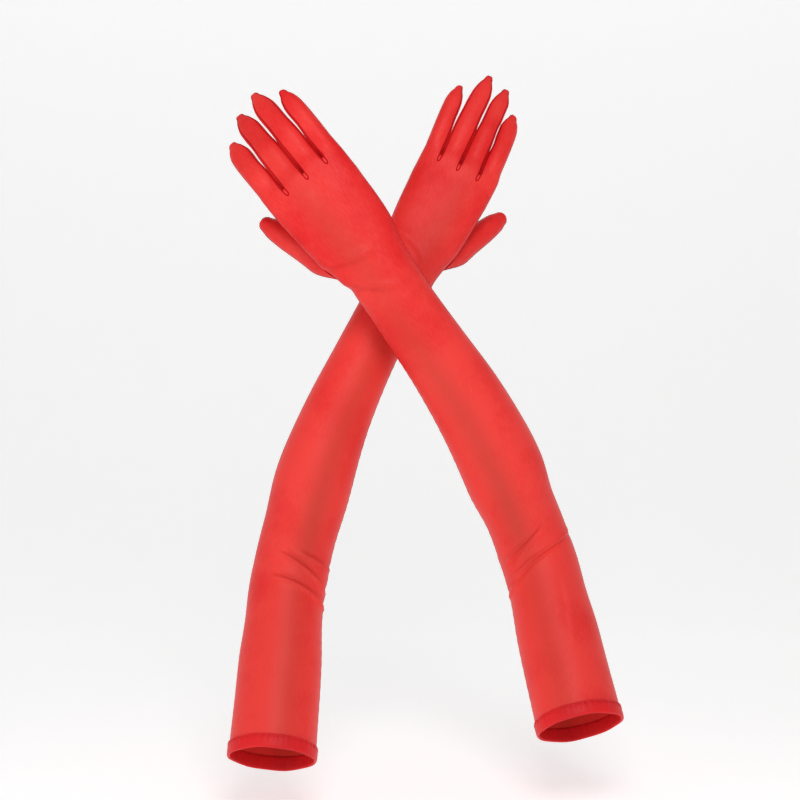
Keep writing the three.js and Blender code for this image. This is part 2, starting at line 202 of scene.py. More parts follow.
@dataclass
class Line:
    """The middle line of a tube of cloth that runs straight and turns softly at its corners."""

    start: np.ndarray
    directions: list[np.ndarray]
    corners: list[float]
    softness: list[float]
    length: float
    palm: np.ndarray
    step: float = 0.5

    def __post_init__(self) -> None:
        """Walk the line once in short steps."""
        self.stations = np.arange(0.0, self.length + self.step, self.step)
        heading = np.tile(self.directions[0], (len(self.stations), 1))
        for k, (corner, soft) in enumerate(zip(self.corners, self.softness)):
            share = smoothstep((self.stations - corner + soft) / (2 * soft))[:, None]
            heading = heading + (self.directions[k + 1] - self.directions[k]) * share
        moved = (heading[1:] + heading[:-1]) / 2 * self.step
        self.points = self.start + np.concatenate([np.zeros((1, 3)), np.cumsum(moved, axis=0)])
        self.heading = heading

    def at(self, along: np.ndarray) -> tuple[np.ndarray, np.ndarray, np.ndarray, np.ndarray]:
        """Read the line.

        Args:
            along: Distances from its start.

        Returns:
            The points there, and the x, y and z axes at each.
        """
        z = unit(read_rows(along, self.stations, self.heading))
        x = unit(np.cross(self.palm, z))
        return read_rows(along, self.stations, self.points), x, np.cross(z, x), z


def oval(share: np.ndarray, power: np.ndarray) -> np.ndarray:
    """How deep an oval is at a share of its half width, as a share of its half depth."""
    return np.maximum(1 - np.abs(share) ** power, 0.0) ** (1 / power)


def squared(value: np.ndarray, power: float) -> np.ndarray:
    """A cosine or sine made squarer, for a section between an oval and a rounded box."""
    return np.sign(value) * np.abs(value) ** (2 / power)


def worn(section: tuple[float, float], spread: float) -> tuple[float, float]:
    """A section's half width and half depth, where the arm inside spreads it wider and flatter."""
    return section[0] * spread, section[1] / spread


@dataclass(frozen=True)
class SleeveSizes:
    """Lengths along the arm and the half width and half depth of its sections.

    A bend is the length of cloth on each side of a joint that bends with it. The sleeve is parted from the
    hand's cloth at a share of the forearm.
    """

    upper_length: float = 158.0
    forearm_length: float = 270.0
    hem: tuple[float, float] = (34.5, 33.0)
    upper: tuple[float, float] = (33.5, 32.0)
    elbow: tuple[float, float] = (31.5, 30.5)
    forearm: tuple[float, float] = (33.5, 30.0)
    middle: tuple[float, float] = (29.5, 25.0)
    wrist: tuple[float, float] = (26.0, 18.5)
    bow: float = 10.0
    elbow_softness: float = 42.0
    wrist_softness: float = 26.0
    elbow_bend: float = 46.0
    wrist_bend: float = 30.0
    girth: float = 205.0
    parted_at: float = 0.45

    @property
    def wrist_at(self) -> float:
        """Distance from the arm opening to the wrist."""
        return self.upper_length + self.forearm_length


@dataclass(frozen=True)
class HandSizes:
    """The hand from the wrist to where the fingers part, and the webs of cloth in the gaps between them."""

    thenar: tuple[float, float, float] = (34.0, 33.0, 15.5)
    middle: tuple[float, float] = (35.0, 14.2)
    palm: tuple[float, float, float] = (72.0, 36.0, 13.5)
    knuckles: tuple[float, float] = (36.5, 10.5)
    knuckles_at: float = 83.0
    parting: float = 103.0
    space: float = 2.4
    web_sag: float = 2.0
    web_edge_sag: float = 0.6
    web_bulge: float = 0.68


@dataclass(frozen=True)
class FingerSizes:
    """One finger stall. Its end piece starts a little below the middle joint.

    The cloth is cut as wide as the girth factor times the stall's width and depth, and its end tapers.
    """

    name: str
    root: float
    width: float
    length: float
    middle_joint: float = 0.42
    half_depth: float = 8.0
    end_below: float = 10.0
    root_bend_below: float = 11.0
    end_bend: float = 9.0
    softness: tuple[float, float] = (7.0, 9.0)
    girth_factor: float = 1.5
    taper: float = 0.85

    @property
    def middle_at(self) -> float:
        """Distance from the root to the middle joint."""
        return self.length * self.middle_joint


@dataclass(frozen=True)
class ThumbSizes:
    """The set-in thumb, measured in the hand's axes and along itself.

    Root and tip are shares of its length: where its cloth starts inside the palm, and where its round end
    starts.
    """

    side: float = 25.0
    depth: float = 13.0
    height: float = 24.0
    length: float = 78.0
    half_width: float = 10.0
    flatness: float = 0.92
    inset: tuple[float, float] = (8.0, 8.0)
    bend: float = 20.0
    root: float = -0.12
    tip: float = 0.86


@dataclass(frozen=True)
class HemSizes:
    """The hem band, with its outline as (along, outward): down its outside, round the rim and up inside."""

    profile: tuple[tuple[float, float], ...] = (
        (11.6, 0.15),
        (11.3, 0.75),
        (10.4, 1.15),
        (9.6, 0.95),
        (8.8, 1.2),
        (6.0, 1.45),
        (3.0, 1.45),
        (1.2, 1.3),
        (0.3, 0.8),
        (0.0, 0.0),
        (0.3, -0.8),
        (1.2, -1.2),
        (4.0, -1.25),
        (8.0, -1.2),
        (10.4, -1.0),
        (11.3, -0.7),
    )
    stitched_at: float = 9.0
    stitched_width: float = 2.6
    fade: float = 14.0
    girth: float = 215.0
    cloth: float = 26.0
    stitch_rows: tuple[int, int] = (3, 4)
    stitch_pitch: float = 2.9


@dataclass(frozen=True)
class GapSizes:
    """How the gap between two neighbouring finger stalls opens: pressed shut low down, then a slit."""

    press: float = 0.2
    slit: float = 1.05
    opens_at: float = 0.32
    opens_over: float = 0.3
    narrowest: float = 0.8
    widest: float = 1.3
    free_at: float = 0.85
    free_over: float = 0.4


@dataclass(frozen=True)
class Unevenness:
    """How knuckles, wear and the side seam push the cloth out of its smooth shape, and how webs even out."""

    knuckle_height: float = 1.0
    knuckle_radius: float = 7.5
    swell: float = 0.25
    swell_along: float = 17.0
    swell_across: float = 9.0
    swell_slow: float = 41.0
    pucker: float = 0.1
    pucker_pitch: float = 1.35
    pucker_drift: float = 19.0
    pucker_width: float = 0.3
    web_reach: float = 7.0
    web_rounds: int = 3


FINGERS = (
    FingerSizes("little", 98.0, 14.5, 69.0),
    FingerSizes("ring", 103.0, 16.5, 84.0),
    FingerSizes("middle", 102.0, 17.0, 83.0),
    FingerSizes("index", 95.0, 16.5, 74.0),
)


class Part(Enum):
    """The parts that a glove's surface is split into; fingers count on from the little finger."""

    UPPER = 0
    LOWER = 1
    ROOTS = 10
    ENDS = 20
    THUMB = 30
    HEM = 40


PART_NAMES = {
    Part.UPPER.value: "sleeve",
    Part.LOWER.value: "wrist_and_hand",
    **{Part.ROOTS.value + k: f"{f.name}_finger_root" for k, f in enumerate(FINGERS)},
    **{Part.ENDS.value + k: f"{f.name}_finger_end" for k, f in enumerate(FINGERS)},
    Part.THUMB.value: "thumb_stall",
    Part.HEM.value: "hem",
}
HAND_NODES = (
    "back_panel",
    "palm_panel",
    "fourchette_little_ring",
    "fourchette_ring_middle",
    "fourchette_middle_index",
)


@dataclass(frozen=True)
class Fold:
    """A soft crease in the worn cloth.

    Places are (along from the arm opening, across to the thumb side), in millimetres.
    """

    start: tuple[float, float]
    end: tuple[float, float]
    height: float
    width: float
    face: Face = Face.BACK
    arch: float = 0.0

    def lift(self, along: np.ndarray, across: np.ndarray, side: np.ndarray) -> np.ndarray:
        """How far the fold lifts the cloth.

        Args:
            along: Distance from the arm opening of each point.
            across: Distance to the thumb side of each point.
            side: From -1 in the middle of the back to 1 in the middle of the palm side.

        Returns:
            The lift of each point, with a furrow beside the ridge.
        """
        a, b = np.array(self.start), np.array(self.end)
        run = b - a
        size = float(np.hypot(*run))
        t = ((along - a[0]) * run[0] + (across - a[1]) * run[1]) / size**2
        off = ((along - a[0]) * run[1] - (across - a[1]) * run[0]) / size
        off = off - self.arch * np.sin(np.pi * np.clip(t, 0, 1))
        fade = smoothstep((t + 0.12) / 0.3) * smoothstep((1.12 - t) / 0.3)  # dies away past both ends
        ridge = np.exp(-((off / self.width) ** 2))
        furrow = np.exp(-(((off - 1.5 * self.width) / (1.1 * self.width)) ** 2))
        facing = smoothstep(0.5 + side * self.face.value / 0.9)
        return self.height * (ridge - 0.75 * furrow) * fade * facing


@dataclass(frozen=True)
class Pose:
    """How one arm holds its glove, in degrees: leans to the thumb side and tilts to the palm side."""

    side: Side
    upper: tuple[float, float]
    forearm: tuple[float, float]
    hand: tuple[float, float]
    thumb: tuple[float, float]
    spread: float
    fingers: dict[str, tuple[float, float, float]]
    folds: tuple[Fold, ...] = ()


LEFT_POSE = Pose(
    side=Side.LEFT,
    upper=(3.2, 27.3),
    forearm=(21.3, 2.6),
    hand=(27.5, 3.0),
    thumb=(23.0, 22.0),
    spread=0.95,
    fingers={"little": (-4.6, 3, 7), "ring": (-2.6, 3, 8), "middle": (-3.0, 5, 10), "index": (-5.4, 6, 12)},
    folds=(
        Fold((172.0, -10.0), (146.0, 31.0), 2.8, 2.1, arch=3.0),
        Fold((147.0, -11.0), (130.0, 32.0), 2.6, 2.1, arch=2.0),
        Fold((177.0, 6.0), (169.0, 32.0), 2.3, 2.1, arch=1.0),
        Fold((133.0, 22.0), (127.0, 34.0), 1.3, 2.4),
        Fold((168.0, 12.0), (140.0, 33.0), 1.0, 1.9, Face.PALM),
        Fold((452.0, -24.0), (438.0, 8.0), 0.9, 3.6, arch=3.0),
    ),
)
RIGHT_POSE = Pose(
    side=Side.RIGHT,
    upper=(11.9, 27.7),
    forearm=(29.7, -14.0),
    hand=(39.3, -4.0),
    thumb=(17.0, 12.0),
    spread=1.05,
    fingers={"little": (0, 3, 7), "ring": (-0.4, 9, 20), "middle": (-0.6, 12, 24), "index": (-1.2, 13, 22)},
    folds=(
        Fold((152.0, 27.0), (186.0, -10.0), 2.0, 1.8, arch=-4.0),
        Fold((129.0, 27.0), (164.0, -32.0), 2.4, 2.0, arch=-3.0),
        Fold((141.0, 20.0), (168.0, 2.0), 0.8, 2.0, arch=-2.0),
        Fold((124.0, 24.0), (121.0, 36.0), 1.6, 2.4),
        Fold((116.0, -14.0), (62.0, -8.0), 0.5, 2.6, arch=-2.0),
        Fold((158.0, 6.0), (166.0, 33.0), 1.0, 2.2, Face.PALM),
        Fold((466.0, 35.0), (449.0, -4.0), 2.2, 4.2, arch=2.5),
        Fold((446.0, 33.0), (413.0, -12.0), 1.8, 3.8, arch=3.0),
    ),
)


@dataclass(frozen=True)
class Recipe:
    """A material while its nodes are put together."""

    material: bpy.types.Material

    def add(self, kind: str, values: dict[str | int, Any] | None = None, **settings: Any) -> bpy.types.Node:
        """Add one shader node.

        Args:
            kind: Its type.
            values: What its sockets are set to, by name or number.
            settings: What its own fields are set to.

        Returns:
            The new node.
        """
        node = self.material.node_tree.nodes.new(f"ShaderNode{kind}")
        for label, value in settings.items():
            setattr(node, label, value)
        for socket, value in (values or {}).items():
            node.inputs[socket].default_value = value
        return node

    def join(self, source: bpy.types.Node, output: str, target: bpy.types.Node, socket: str | int) -> None:
        """Lead one node's output into another's socket."""
        self.material.node_tree.links.new(source.outputs[output], target.inputs[socket])

    def mixed(
        self, source: bpy.types.Node, share: float, other: bpy.types.Node, output: str
    ) -> bpy.types.Node:
        """Add a share of one pattern to another.

        Args:
            source: The pattern that is added, read at its factor.
            share: How much of it.
            other: The pattern that it is added to.
            output: Where the other is read.

        Returns:
            The node that holds the sum.
        """
        total = self.add("Math", {1: share}, operation="MULTIPLY_ADD")
        self.join(source, "Fac", total, 0)
        self.join(other, output, total, 2)
        return total


@dataclass(frozen=True)
class Satin:
    """A stretch satin knit: its dye, its sheen and its fine ribs."""

    name: str
    bright: tuple[float, float, float]
    deep: tuple[float, float, float]
    # The browner tint of cloth stretched thinner, also used as painted shade on the thumb side of each arm.
    worn_thin: tuple[float, float, float]
    roughness: float = 0.46
    sheen: float = 0.06
    sheen_roughness: float = 0.35
    sheen_tint: tuple[float, float, float] = (1.0, 0.35, 0.3)
    gloss: float = 0.2
    roughness_spread: tuple[float, float] = (-0.06, 0.1)
    rib: float = 0.0011
    rib_depth: float = 0.18
    rib_height: float = 0.0003
    cloud_scale: float = 26.0
    streak_scale: tuple[float, float, float] = (900.0, 160.0, 1.0)
    streak_slant: float = 8.0
    streak_in_dye: float = 0.45
    streak_in_ribs: float = 0.8
    dye_range: tuple[float, float] = (0.42, 0.95)
    # Painted light: how far the sleeve is mixed to the bright dye, so it is lighter than the hand.
    painted_light_share: float = -0.5

    def make(self) -> bpy.types.Material:
        """Build the node material.

        Returns:
            The material, whose pattern follows the cloth's own width and length.
        """
        material = bpy.data.materials.new(self.name)
        material.use_nodes = True
        recipe = Recipe(material)
        shader = material.node_tree.nodes["Principled BSDF"]
        shader.inputs["Sheen Weight"].default_value = self.sheen
        shader.inputs["Sheen Roughness"].default_value = self.sheen_roughness
        shader.inputs["Sheen Tint"].default_value = (*self.sheen_tint, 1.0)
        shader.inputs["Specular IOR Level"].default_value = self.gloss
        cloth = recipe.add("UVMap", uv_map="cloth")
        streak = self.streaks(recipe, cloth)
        self.dye(recipe, shader, streak)
        self.ribs(recipe, shader, cloth, streak)
        smooth, rough = (self.roughness + spread for spread in self.roughness_spread)
        gloss = recipe.add("MapRange", {"To Min": smooth, "To Max": rough})
        recipe.join(streak, "Fac", gloss, "Value")
        recipe.join(gloss, "Result", shader, "Roughness")
        return material

    def streaks(self, recipe: Recipe, cloth: bpy.types.Node) -> bpy.types.Node:
        """Make the short slanting streaks of uneven yarn.

        Args:
            recipe: The material.
            cloth: Its cloth measures.

        Returns:
            The pattern of streaks.
        """
        slant = (0.0, 0.0, math.radians(self.streak_slant))
        slanted = recipe.add("Mapping", {"Scale": self.streak_scale, "Rotation": slant})
        recipe.join(cloth, "UV", slanted, "Vector")
        streak = recipe.add("TexNoise", {"Scale": 1.0, "Detail": 2.0})
        recipe.join(slanted, "Vector", streak, "Vector")
        return streak

    def dye(self, recipe: Recipe, shader: bpy.types.Node, streak: bpy.types.Node) -> None:
        """Colour the cloth: cloudy, lighter on the sleeve as painted light, and browner in a band that is
        partly cloth stretched thinner and partly painted shade.

        Args:
            recipe: The material.
            shader: Its shader.
            streak: Its streaks.
        """
        place = recipe.add("TexCoord")
        cloud = recipe.add("TexNoise", {"Scale": self.cloud_scale, "Detail": 3.0})
        recipe.join(place, "Object", cloud, "Vector")
        blend = recipe.mixed(streak, self.streak_in_dye, cloud, "Fac")
        spread = recipe.add("MapRange", {"From Min": self.dye_range[0], "From Max": self.dye_range[1]})
        recipe.join(blend, "Value", spread, "Value")
        # Painted light: the sleeve is mixed towards the bright dye, so it is lighter than the hand.
        taut = recipe.add("Attribute", attribute_name="taut")
        lighter = recipe.mixed(taut, self.painted_light_share, spread, "Result")
        ends = {"A": (*self.bright, 1.0), "B": (*self.deep, 1.0)}
        dyed = recipe.add("Mix", ends, data_type="RGBA")
        recipe.join(lighter, "Value", dyed, "Factor")
        # A browner band, partly cloth stretched thinner and partly painted shade on the thumb side of each
        # arm.
        thin = recipe.add("Attribute", attribute_name="thin")
        shown = recipe.add("Mix", {"B": (*self.worn_thin, 1.0)}, data_type="RGBA")
        recipe.join(thin, "Fac", shown, "Factor")
        recipe.join(dyed, "Result", shown, "A")
        recipe.join(shown, "Result", shader, "Base Color")

    def ribs(
        self, recipe: Recipe, shader: bpy.types.Node, cloth: bpy.types.Node, streak: bpy.types.Node
    ) -> None:
        """Raise the fine slanting ribs of the knit.

        Args:
            recipe: The material.
            shader: Its shader.
            cloth: Its cloth measures.
            streak: Its streaks.
        """
        # These bands repeat every 0.63 / scale along the cloth: a rib and a furrow, each as wide as a rib.
        values = {"Scale": 0.32 / self.rib, "Distortion": 0.6, "Detail": 1.0}
        rows = recipe.add("TexWave", values, wave_type="BANDS", bands_direction="DIAGONAL")
        recipe.join(cloth, "UV", rows, "Vector")
        grain = recipe.mixed(streak, self.streak_in_ribs, rows, "Fac")
        bump = recipe.add("Bump", {"Strength": self.rib_depth, "Distance": self.rib_height})
        recipe.join(grain, "Value", bump, "Height")
        recipe.join(bump, "Normal", shader, "Normal")


@dataclass
class Surface:
    """The whole glove as arrays."""

    points: np.ndarray
    along: np.ndarray
    across: np.ndarray
    face: np.ndarray
    quads: np.ndarray
    measures: np.ndarray
    parts: np.ndarray

    def normals(self) -> np.ndarray:
        """Find which way the cloth faces.

        Returns:
            The outward direction at every point.
        """
        p = self.points[self.quads]
        n = np.cross(p[:, 2] - p[:, 0], p[:, 3] - p[:, 1])
        out = np.zeros_like(self.points)
        for k in range(4):
            np.add.at(out, self.quads[:, k], n)
        return unit(out)

    def relax(self, chosen: np.ndarray, rounds: int, share: float = 0.5) -> None:
        """Even out chosen points between their neighbours.

        Args:
            chosen: How much each point may move, from 0 to 1.
            rounds: How often.
            share: How far a point moves each time.
        """
        pairs = np.concatenate([self.quads[:, [k, (k + 1) % 4]] for k in range(4)])
        pairs = pairs[pairs[:, 0] != pairs[:, 1]]
        near = chosen[pairs[:, 0]] + chosen[pairs[:, 1]] > 0
        pairs = np.unique(np.sort(pairs[near], axis=1), axis=0)
        count = np.zeros(len(self.points))
        np.add.at(count, pairs.ravel(), 1)
        for _ in range(rounds):
            total = np.zeros_like(self.points)
            np.add.at(total, pairs[:, 0], self.points[pairs[:, 1]])
            np.add.at(total, pairs[:, 1], self.points[pairs[:, 0]])
            mean = total / np.maximum(count, 1)[:, None]
            move = np.where(count[:, None] > 0, mean - self.points, 0.0)
            self.points = self.points + move * (chosen * share)[:, None]


@dataclass
class Cloth:
    """Points and faces of one glove, with the cloth's own measures for its finish."""

    points: list[np.ndarray] = field(default_factory=list)
    along: list[np.ndarray] = field(default_factory=list)
    across: list[np.ndarray] = field(default_factory=list)
    face: list[np.ndarray] = field(default_factory=list)
    quads: list[np.ndarray] = field(default_factory=list)
    measures: list[np.ndarray] = field(default_factory=list)
    parts: list[np.ndarray] = field(default_factory=list)
    count: int = 0

    def add_points(
        self, points: np.ndarray, along: np.ndarray, across: np.ndarray, face: np.ndarray
    ) -> np.ndarray:
        """Add points.

        Args:
            points: Their places.
            along: Distance of each from the arm opening.
            across: Distance of each to the thumb side.
            face: From -1 in the middle of the back to 1 in the middle of the palm side.

        Returns:
            The index of each new point.
        """
        flat = points.reshape(-1, 3)
        self.points.append(flat)
        for store, value in ((self.along, along), (self.across, across), (self.face, face)):
            store.append(np.broadcast_to(value, points.shape[:-1]).reshape(-1).astype(float))
        ids = np.arange(self.count, self.count + len(flat)).reshape(points.shape[:-1])
        self.count += len(flat)
        return ids

    def add_grid(
        self, grid: np.ndarray, part: np.ndarray, width: np.ndarray, length: np.ndarray, closed: bool = True
    ) -> None:
        """Add the faces between rows of points.

        Args:
            grid: Point indices, one row for each ring.
            part: The part that each row of faces belongs to.
            width: The cloth's width measure at each column, one more than the columns if closed.
            length: The cloth's length measure at each row.
            closed: Whether the last column joins the first.
        """
        ring = np.concatenate([grid, grid[:, :1]], axis=1) if closed else grid
        a, b, c, d = ring[:-1, :-1], ring[:-1, 1:], ring[1:, 1:], ring[1:, :-1]
        quads = np.stack([a, b, c, d], -1).reshape(-1, 4)
        u = np.broadcast_to(width, (ring.shape[0], ring.shape[1]))
        v = np.broadcast_to(np.asarray(length)[:, None], u.shape)
        uv = np.stack([u, v], -1)
        corners = np.stack([uv[:-1, :-1], uv[:-1, 1:], uv[1:, 1:], uv[1:, :-1]], -2).reshape(-1, 4, 2)
        self.quads.append(quads)
        self.measures.append(corners)
        self.parts.append(np.repeat(np.broadcast_to(part, ring.shape[0] - 1), ring.shape[1] - 1))

    def surface(self) -> Surface:
        """Everything that was added, as one surface."""
        kept = (self.points, self.along, self.across, self.face, self.quads, self.measures, self.parts)
        return Surface(*(np.concatenate(arrays) for arrays in kept))


@dataclass
class Trim:
    """Sewing on top of the cloth: a welt of seam or a row of stitches."""

    points: np.ndarray
    quads: np.ndarray
    normals: np.ndarray
    finish: Finish = Finish.THREAD


@dataclass(frozen=True)
class Welt:
    """The raised line that a seam leaves on the outside of the cloth.

    Its outline gives the place across and the height of each point, as shares of half width and height.
    """

    half_width: float = 0.62
    height: float = 0.45
    pitch: float = 2.3
    wobble: float = 0.28
    step: float = 0.6
    fade: float = 1.5
    outline: tuple[tuple[float, float], ...] = (
        (-1.0, -0.4),
        (-0.6, 0.6),
        (0.0, 1.0),
        (0.6, 0.6),
        (1.0, -0.4),
    )

    def run(self, points: np.ndarray, normals: np.ndarray, parts: np.ndarray) -> dict[int, Trim]:
        """Lay the welt along a line of points on the cloth.

        Args:
            points: The line.
            normals: The cloth's outward direction at each point.
            parts: The part that each step of the line lies on.

        Returns:
            The welt on each part.
        """
        reach = lengths_along(points)
        keep = np.concatenate([[True], np.diff(reach) > 1e-6])
        reach, points, normals = reach[keep], points[keep], normals[keep]
        parts = parts[keep[1:]]
        fine = np.unique(np.concatenate([np.arange(0.0, reach[-1], self.step), reach]))
        place, up = read_rows(fine, reach, points), unit(read_rows(fine, reach, normals))
        along = unit(np.gradient(place, axis=0))
        along = unit(along + np.roll(along, 1, 0) * (fine > fine[0])[:, None])
        side = unit(np.cross(along, up))
        rows, slopes = self.outlines(fine, place, up, side)
        at = np.searchsorted(reach, fine[:-1] + 1e-9, side="right") - 1
        owner = parts[np.clip(at, 0, len(parts) - 1)]
        made: dict[int, Trim] = {}
        for part in np.unique(owner):
            steps = np.nonzero(owner == part)[0]
            ids = np.arange(rows.shape[0] * rows.shape[1]).reshape(-1, rows.shape[1])
            a, b = ids[steps], ids[steps + 1]
            quads = np.stack([a[:, :-1], a[:, 1:], b[:, 1:], b[:, :-1]], -1).reshape(-1, 4)
            used, index = np.unique(quads, return_inverse=True)
            index = index.reshape(quads.shape)
            made[int(part)] = Trim(rows.reshape(-1, 3)[used], index, slopes.reshape(-1, 3)[used])
        return made

    def outlines(
        self, fine: np.ndarray, place: np.ndarray, up: np.ndarray, side: np.ndarray
    ) -> tuple[np.ndarray, np.ndarray]:
        """Stand the welt's outline up at each step, lower at both ends.

        Args:
            fine: The distance of each step from the seam's start.
            place: The cloth there.
            up: Its outward direction.
            side: The direction across the seam.

        Returns:
            The outline's points at each step, and the outward directions there.
        """
        height = self.height * (1 + self.wobble * np.sin(2 * np.pi * fine / self.pitch))
        ends = smoothstep(fine / self.fade) * smoothstep((fine[-1] - fine) / self.fade)
        rows, slopes = [], []
        for out, rise in self.outline:
            raised = rise * height * (ends if rise > 0 else 1)
            rows.append(place + side * (out * self.half_width) + up * raised[:, None])
            slopes.append(unit(up + side * out * 0.5))
        return np.stack(rows, 1), np.stack(slopes, 1)


@dataclass(frozen=True)
class Stitches:
    """A row of short thread stitches. Its rings give the place along a stitch and the thickness there."""

    length: float = 1.9
    radius: float = 0.22
    lift: float = 0.12
    sides: int = 6
    rings: tuple[tuple[float, float], ...] = (
        (-0.5, 0.35),
        (-0.3, 1.0),
        (0.3, 1.0),
        (0.5, 0.35),
    )

    def lay(self, places: np.ndarray, along: np.ndarray, up: np.ndarray) -> Trim:
        """Lay one stitch at each place.

        Args:
            places: The middle of each stitch.
            along: The direction that the thread runs.
            up: The cloth's outward direction.

        Returns:
            All the stitches.
        """
        side = unit(np.cross(along, up))
        turn = np.linspace(0, 2 * np.pi, self.sides, endpoint=False)
        round_it = side[:, None] * np.cos(turn)[:, None] + up[:, None] * np.sin(turn)[:, None]
        rings = []
        for reach, size in self.rings:
            centre = places + along * (reach * self.length) + up * (self.lift if size == 1.0 else 0.0)
            rings.append(centre[:, None] + round_it * (self.radius * size))
        points = np.stack(rings, 1)
        ids = np.arange(points[..., 0].size).reshape(points.shape[:3])
        closed = np.concatenate([ids, ids[:, :, :1]], 2)
        a, b, c, d = closed[:, :-1, :-1], closed[:, 1:, :-1], closed[:, 1:, 1:], closed[:, :-1, 1:]
        quads = np.stack([a, b, c, d], -1).reshape(-1, 4)
        ends = [
            ids[:, 0, [0, 1, 2, 3]],
            ids[:, 0, [0, 3, 4, 5]],
            ids[:, -1, [3, 2, 1, 0]],
            ids[:, -1, [5, 4, 3, 0]],
        ]
        quads = np.concatenate([quads, *ends])
        normals = np.broadcast_to(round_it[:, None], points.shape).reshape(-1, 3)
        return Trim(points.reshape(-1, 3), quads, normals, Finish.CLOTH)


@dataclass(frozen=True)
class Mesh:
    """How fine the cloth is meshed."""

    finger_columns: int = 12
    web_columns: int = 2
    side_rows: int = 4
    ring_step: float = 1.7
    finger_step: float = 1.5
    thumb_columns: int = 40
    thumb_rows: int = 60
    tip_rows: int = 9
    hem_columns: int = 220

    @property
    def half(self) -> int:
        """Steps from the little-finger edge to the thumb edge."""
        return 4 * self.finger_columns + 3 * self.web_columns


@dataclass
class Finger:
    """One finger stall in place."""

    sizes: FingerSizes
    axes: Axes
    centre: float
    half: float
    line: Line
    low: int
    high: int


@dataclass
class Rim:
    """The hand's last ring of points, where the finger stalls begin."""

    ids: np.ndarray
    places: np.ndarray


class Glove:
    """One opera glove: its cloth surface and the pieces it is parted into."""

    LEAD = 12.0  # a finger's line starts this far below its root

    def __init__(
        self, pose: Pose, satin: bpy.types.Material, hem: bpy.types.Material, thread: bpy.types.Material
    ) -> None:
        """Place the glove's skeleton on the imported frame.

        Args:
            pose: How the arm holds it.
            satin: The cloth's finish.
            hem: The hem band's finish.
            thread: The finish of seams and stitches.
        """
        self.pose = pose
        self.satin = satin
        self.hem = hem
        self.thread = thread
        self.sleeve = SleeveSizes()
        self.hand_sizes = HandSizes()
        self.thumb_sizes = ThumbSizes()
        self.hem_sizes = HemSizes()
        self.mesh = Mesh()
        self.mirror = np.array([-1.0 if pose.side is Side.RIGHT else 1.0, 1.0, 1.0])
        mounts = {m["name"]: m for m in frame["record"]["mounts"]}
        self.place = np.array(mounts[self.named("arm_opening")]["pos_m"]) / MM
        self.trims: dict[int, list[Trim]] = {number: [] for number in PART_NAMES}
        self.place_arm()
        self.place_fingers()

    def named(self, piece: str) -> str:
        """A piece's full name."""
        return f"{self.pose.side.value}_{piece}"

    def world(self, points: np.ndarray) -> np.ndarray:
        """Take points from the glove's own axes, as for a left glove, to the row frame in metres."""
        return (np.asarray(points) * self.mirror + self.place) * MM

    def place_arm(self) -> None:
        """Lay out the middle line from the arm opening to where the fingers part."""
        s, pose = self.sleeve, self.pose
        headings = [lean(*pose.upper), lean(*pose.forearm), lean(*pose.hand)]
        wrist = headings[0] * s.upper_length + headings[1] * s.forearm_length
        self.hand = Axes(wrist, headings[2])
        self.line = Line(
            start=np.zeros(3),
            directions=headings,
            corners=[s.upper_length, s.wrist_at],
            softness=[s.elbow_softness, s.wrist_softness],
            length=s.wrist_at + self.hand_sizes.parting,
            palm=np.array([0.0, 1.0, 0.0]),
        )

    def place_fingers(self) -> None:
        """Set the four fingers side by side across the knuckles."""
        space, spread = self.hand_sizes.space, self.pose.spread
        edge = -(sum(f.width for f in FINGERS) + space * (len(FINGERS) - 1)) / 2
        self.fingers = []
        for index, sizes in enumerate(FINGERS):
            centre = (edge + sizes.width / 2) * spread
            edge += sizes.width + space
            splay, curl, tip_curl = self.pose.fingers[sizes.name]
            axes = self.hand.turned(self.hand.at(centre, 0, sizes.root), splay, curl)
            tip_axes = self.hand.turned(axes.at(0, 0, sizes.middle_at), splay, curl + tip_curl)
            line = Line(
                start=axes.origin - unit(self.hand.along) * self.LEAD,
                directions=[unit(self.hand.along), unit(axes.along), unit(tip_axes.along)],
                corners=[self.LEAD, self.LEAD + sizes.middle_at],
                softness=list(sizes.softness),
                length=sizes.length + self.LEAD,
                palm=self.hand.basis[1],
            )
            low = index * (self.mesh.finger_columns + self.mesh.web_columns)
            half = sizes.width / 2 * spread
            high = low + self.mesh.finger_columns
            self.fingers.append(Finger(sizes, axes, centre, half, line, low, high))

    def sections(self, along: np.ndarray) -> tuple[np.ndarray, np.ndarray, np.ndarray, np.ndarray]:
        """The cross-sections of sleeve and hand.

        Args:
            along: Distances from the arm opening.

        Returns:
            Half width, half depth, shift to the thumb side and roundness of each section.
        """
        s, h, spread = self.sleeve, self.hand_sizes, self.pose.spread
        fore, wrist_at, wrist = s.forearm_length, s.wrist_at, worn(s.wrist, spread)
        # Each row: the distance from the arm opening, the half width and the half depth.
        table = [
            (0.0, *s.hem),
            (12.0, *s.hem),
            (s.upper_length * 0.5, *s.upper),
            (s.upper_length * 0.78, *s.elbow),
            (s.upper_length, *s.elbow),
            (s.upper_length + fore * 0.13, *s.elbow),
            (s.upper_length + fore * 0.27, *worn(s.forearm, (1 + spread) / 2)),
            (s.upper_length + fore * 0.55, *worn(s.middle, spread)),
            (s.upper_length + fore * 0.92, *wrist),
            (wrist_at, *wrist),
            (wrist_at + h.thenar[0] * 0.45, wrist[0] * 1.08, wrist[1] * 0.93),
            (wrist_at + h.thenar[0], h.thenar[1] * spread, h.thenar[2]),
            (wrist_at + (h.thenar[0] + h.palm[0]) / 2, h.middle[0] * spread, h.middle[1]),
            (wrist_at + h.palm[0], h.palm[1] * spread, h.palm[2]),
            (wrist_at + h.palm[0] + 10, h.knuckles[0] * spread, (h.palm[2] + h.knuckles[1]) / 2),
            (wrist_at + h.parting, h.knuckles[0] * spread, h.knuckles[1] - 0.6),
        ]
        at, wide, deep = zip(*table)
        share = np.clip((along - s.upper_length) / fore, 0, 1)
        shift = -s.bow * np.sin(np.pi * share**0.9) ** 1.5
        power = 2.0 + 0.35 * smoothstep((along - wrist_at) / 70.0)
        return eased(along, at, wide), eased(along, at, deep), shift, power

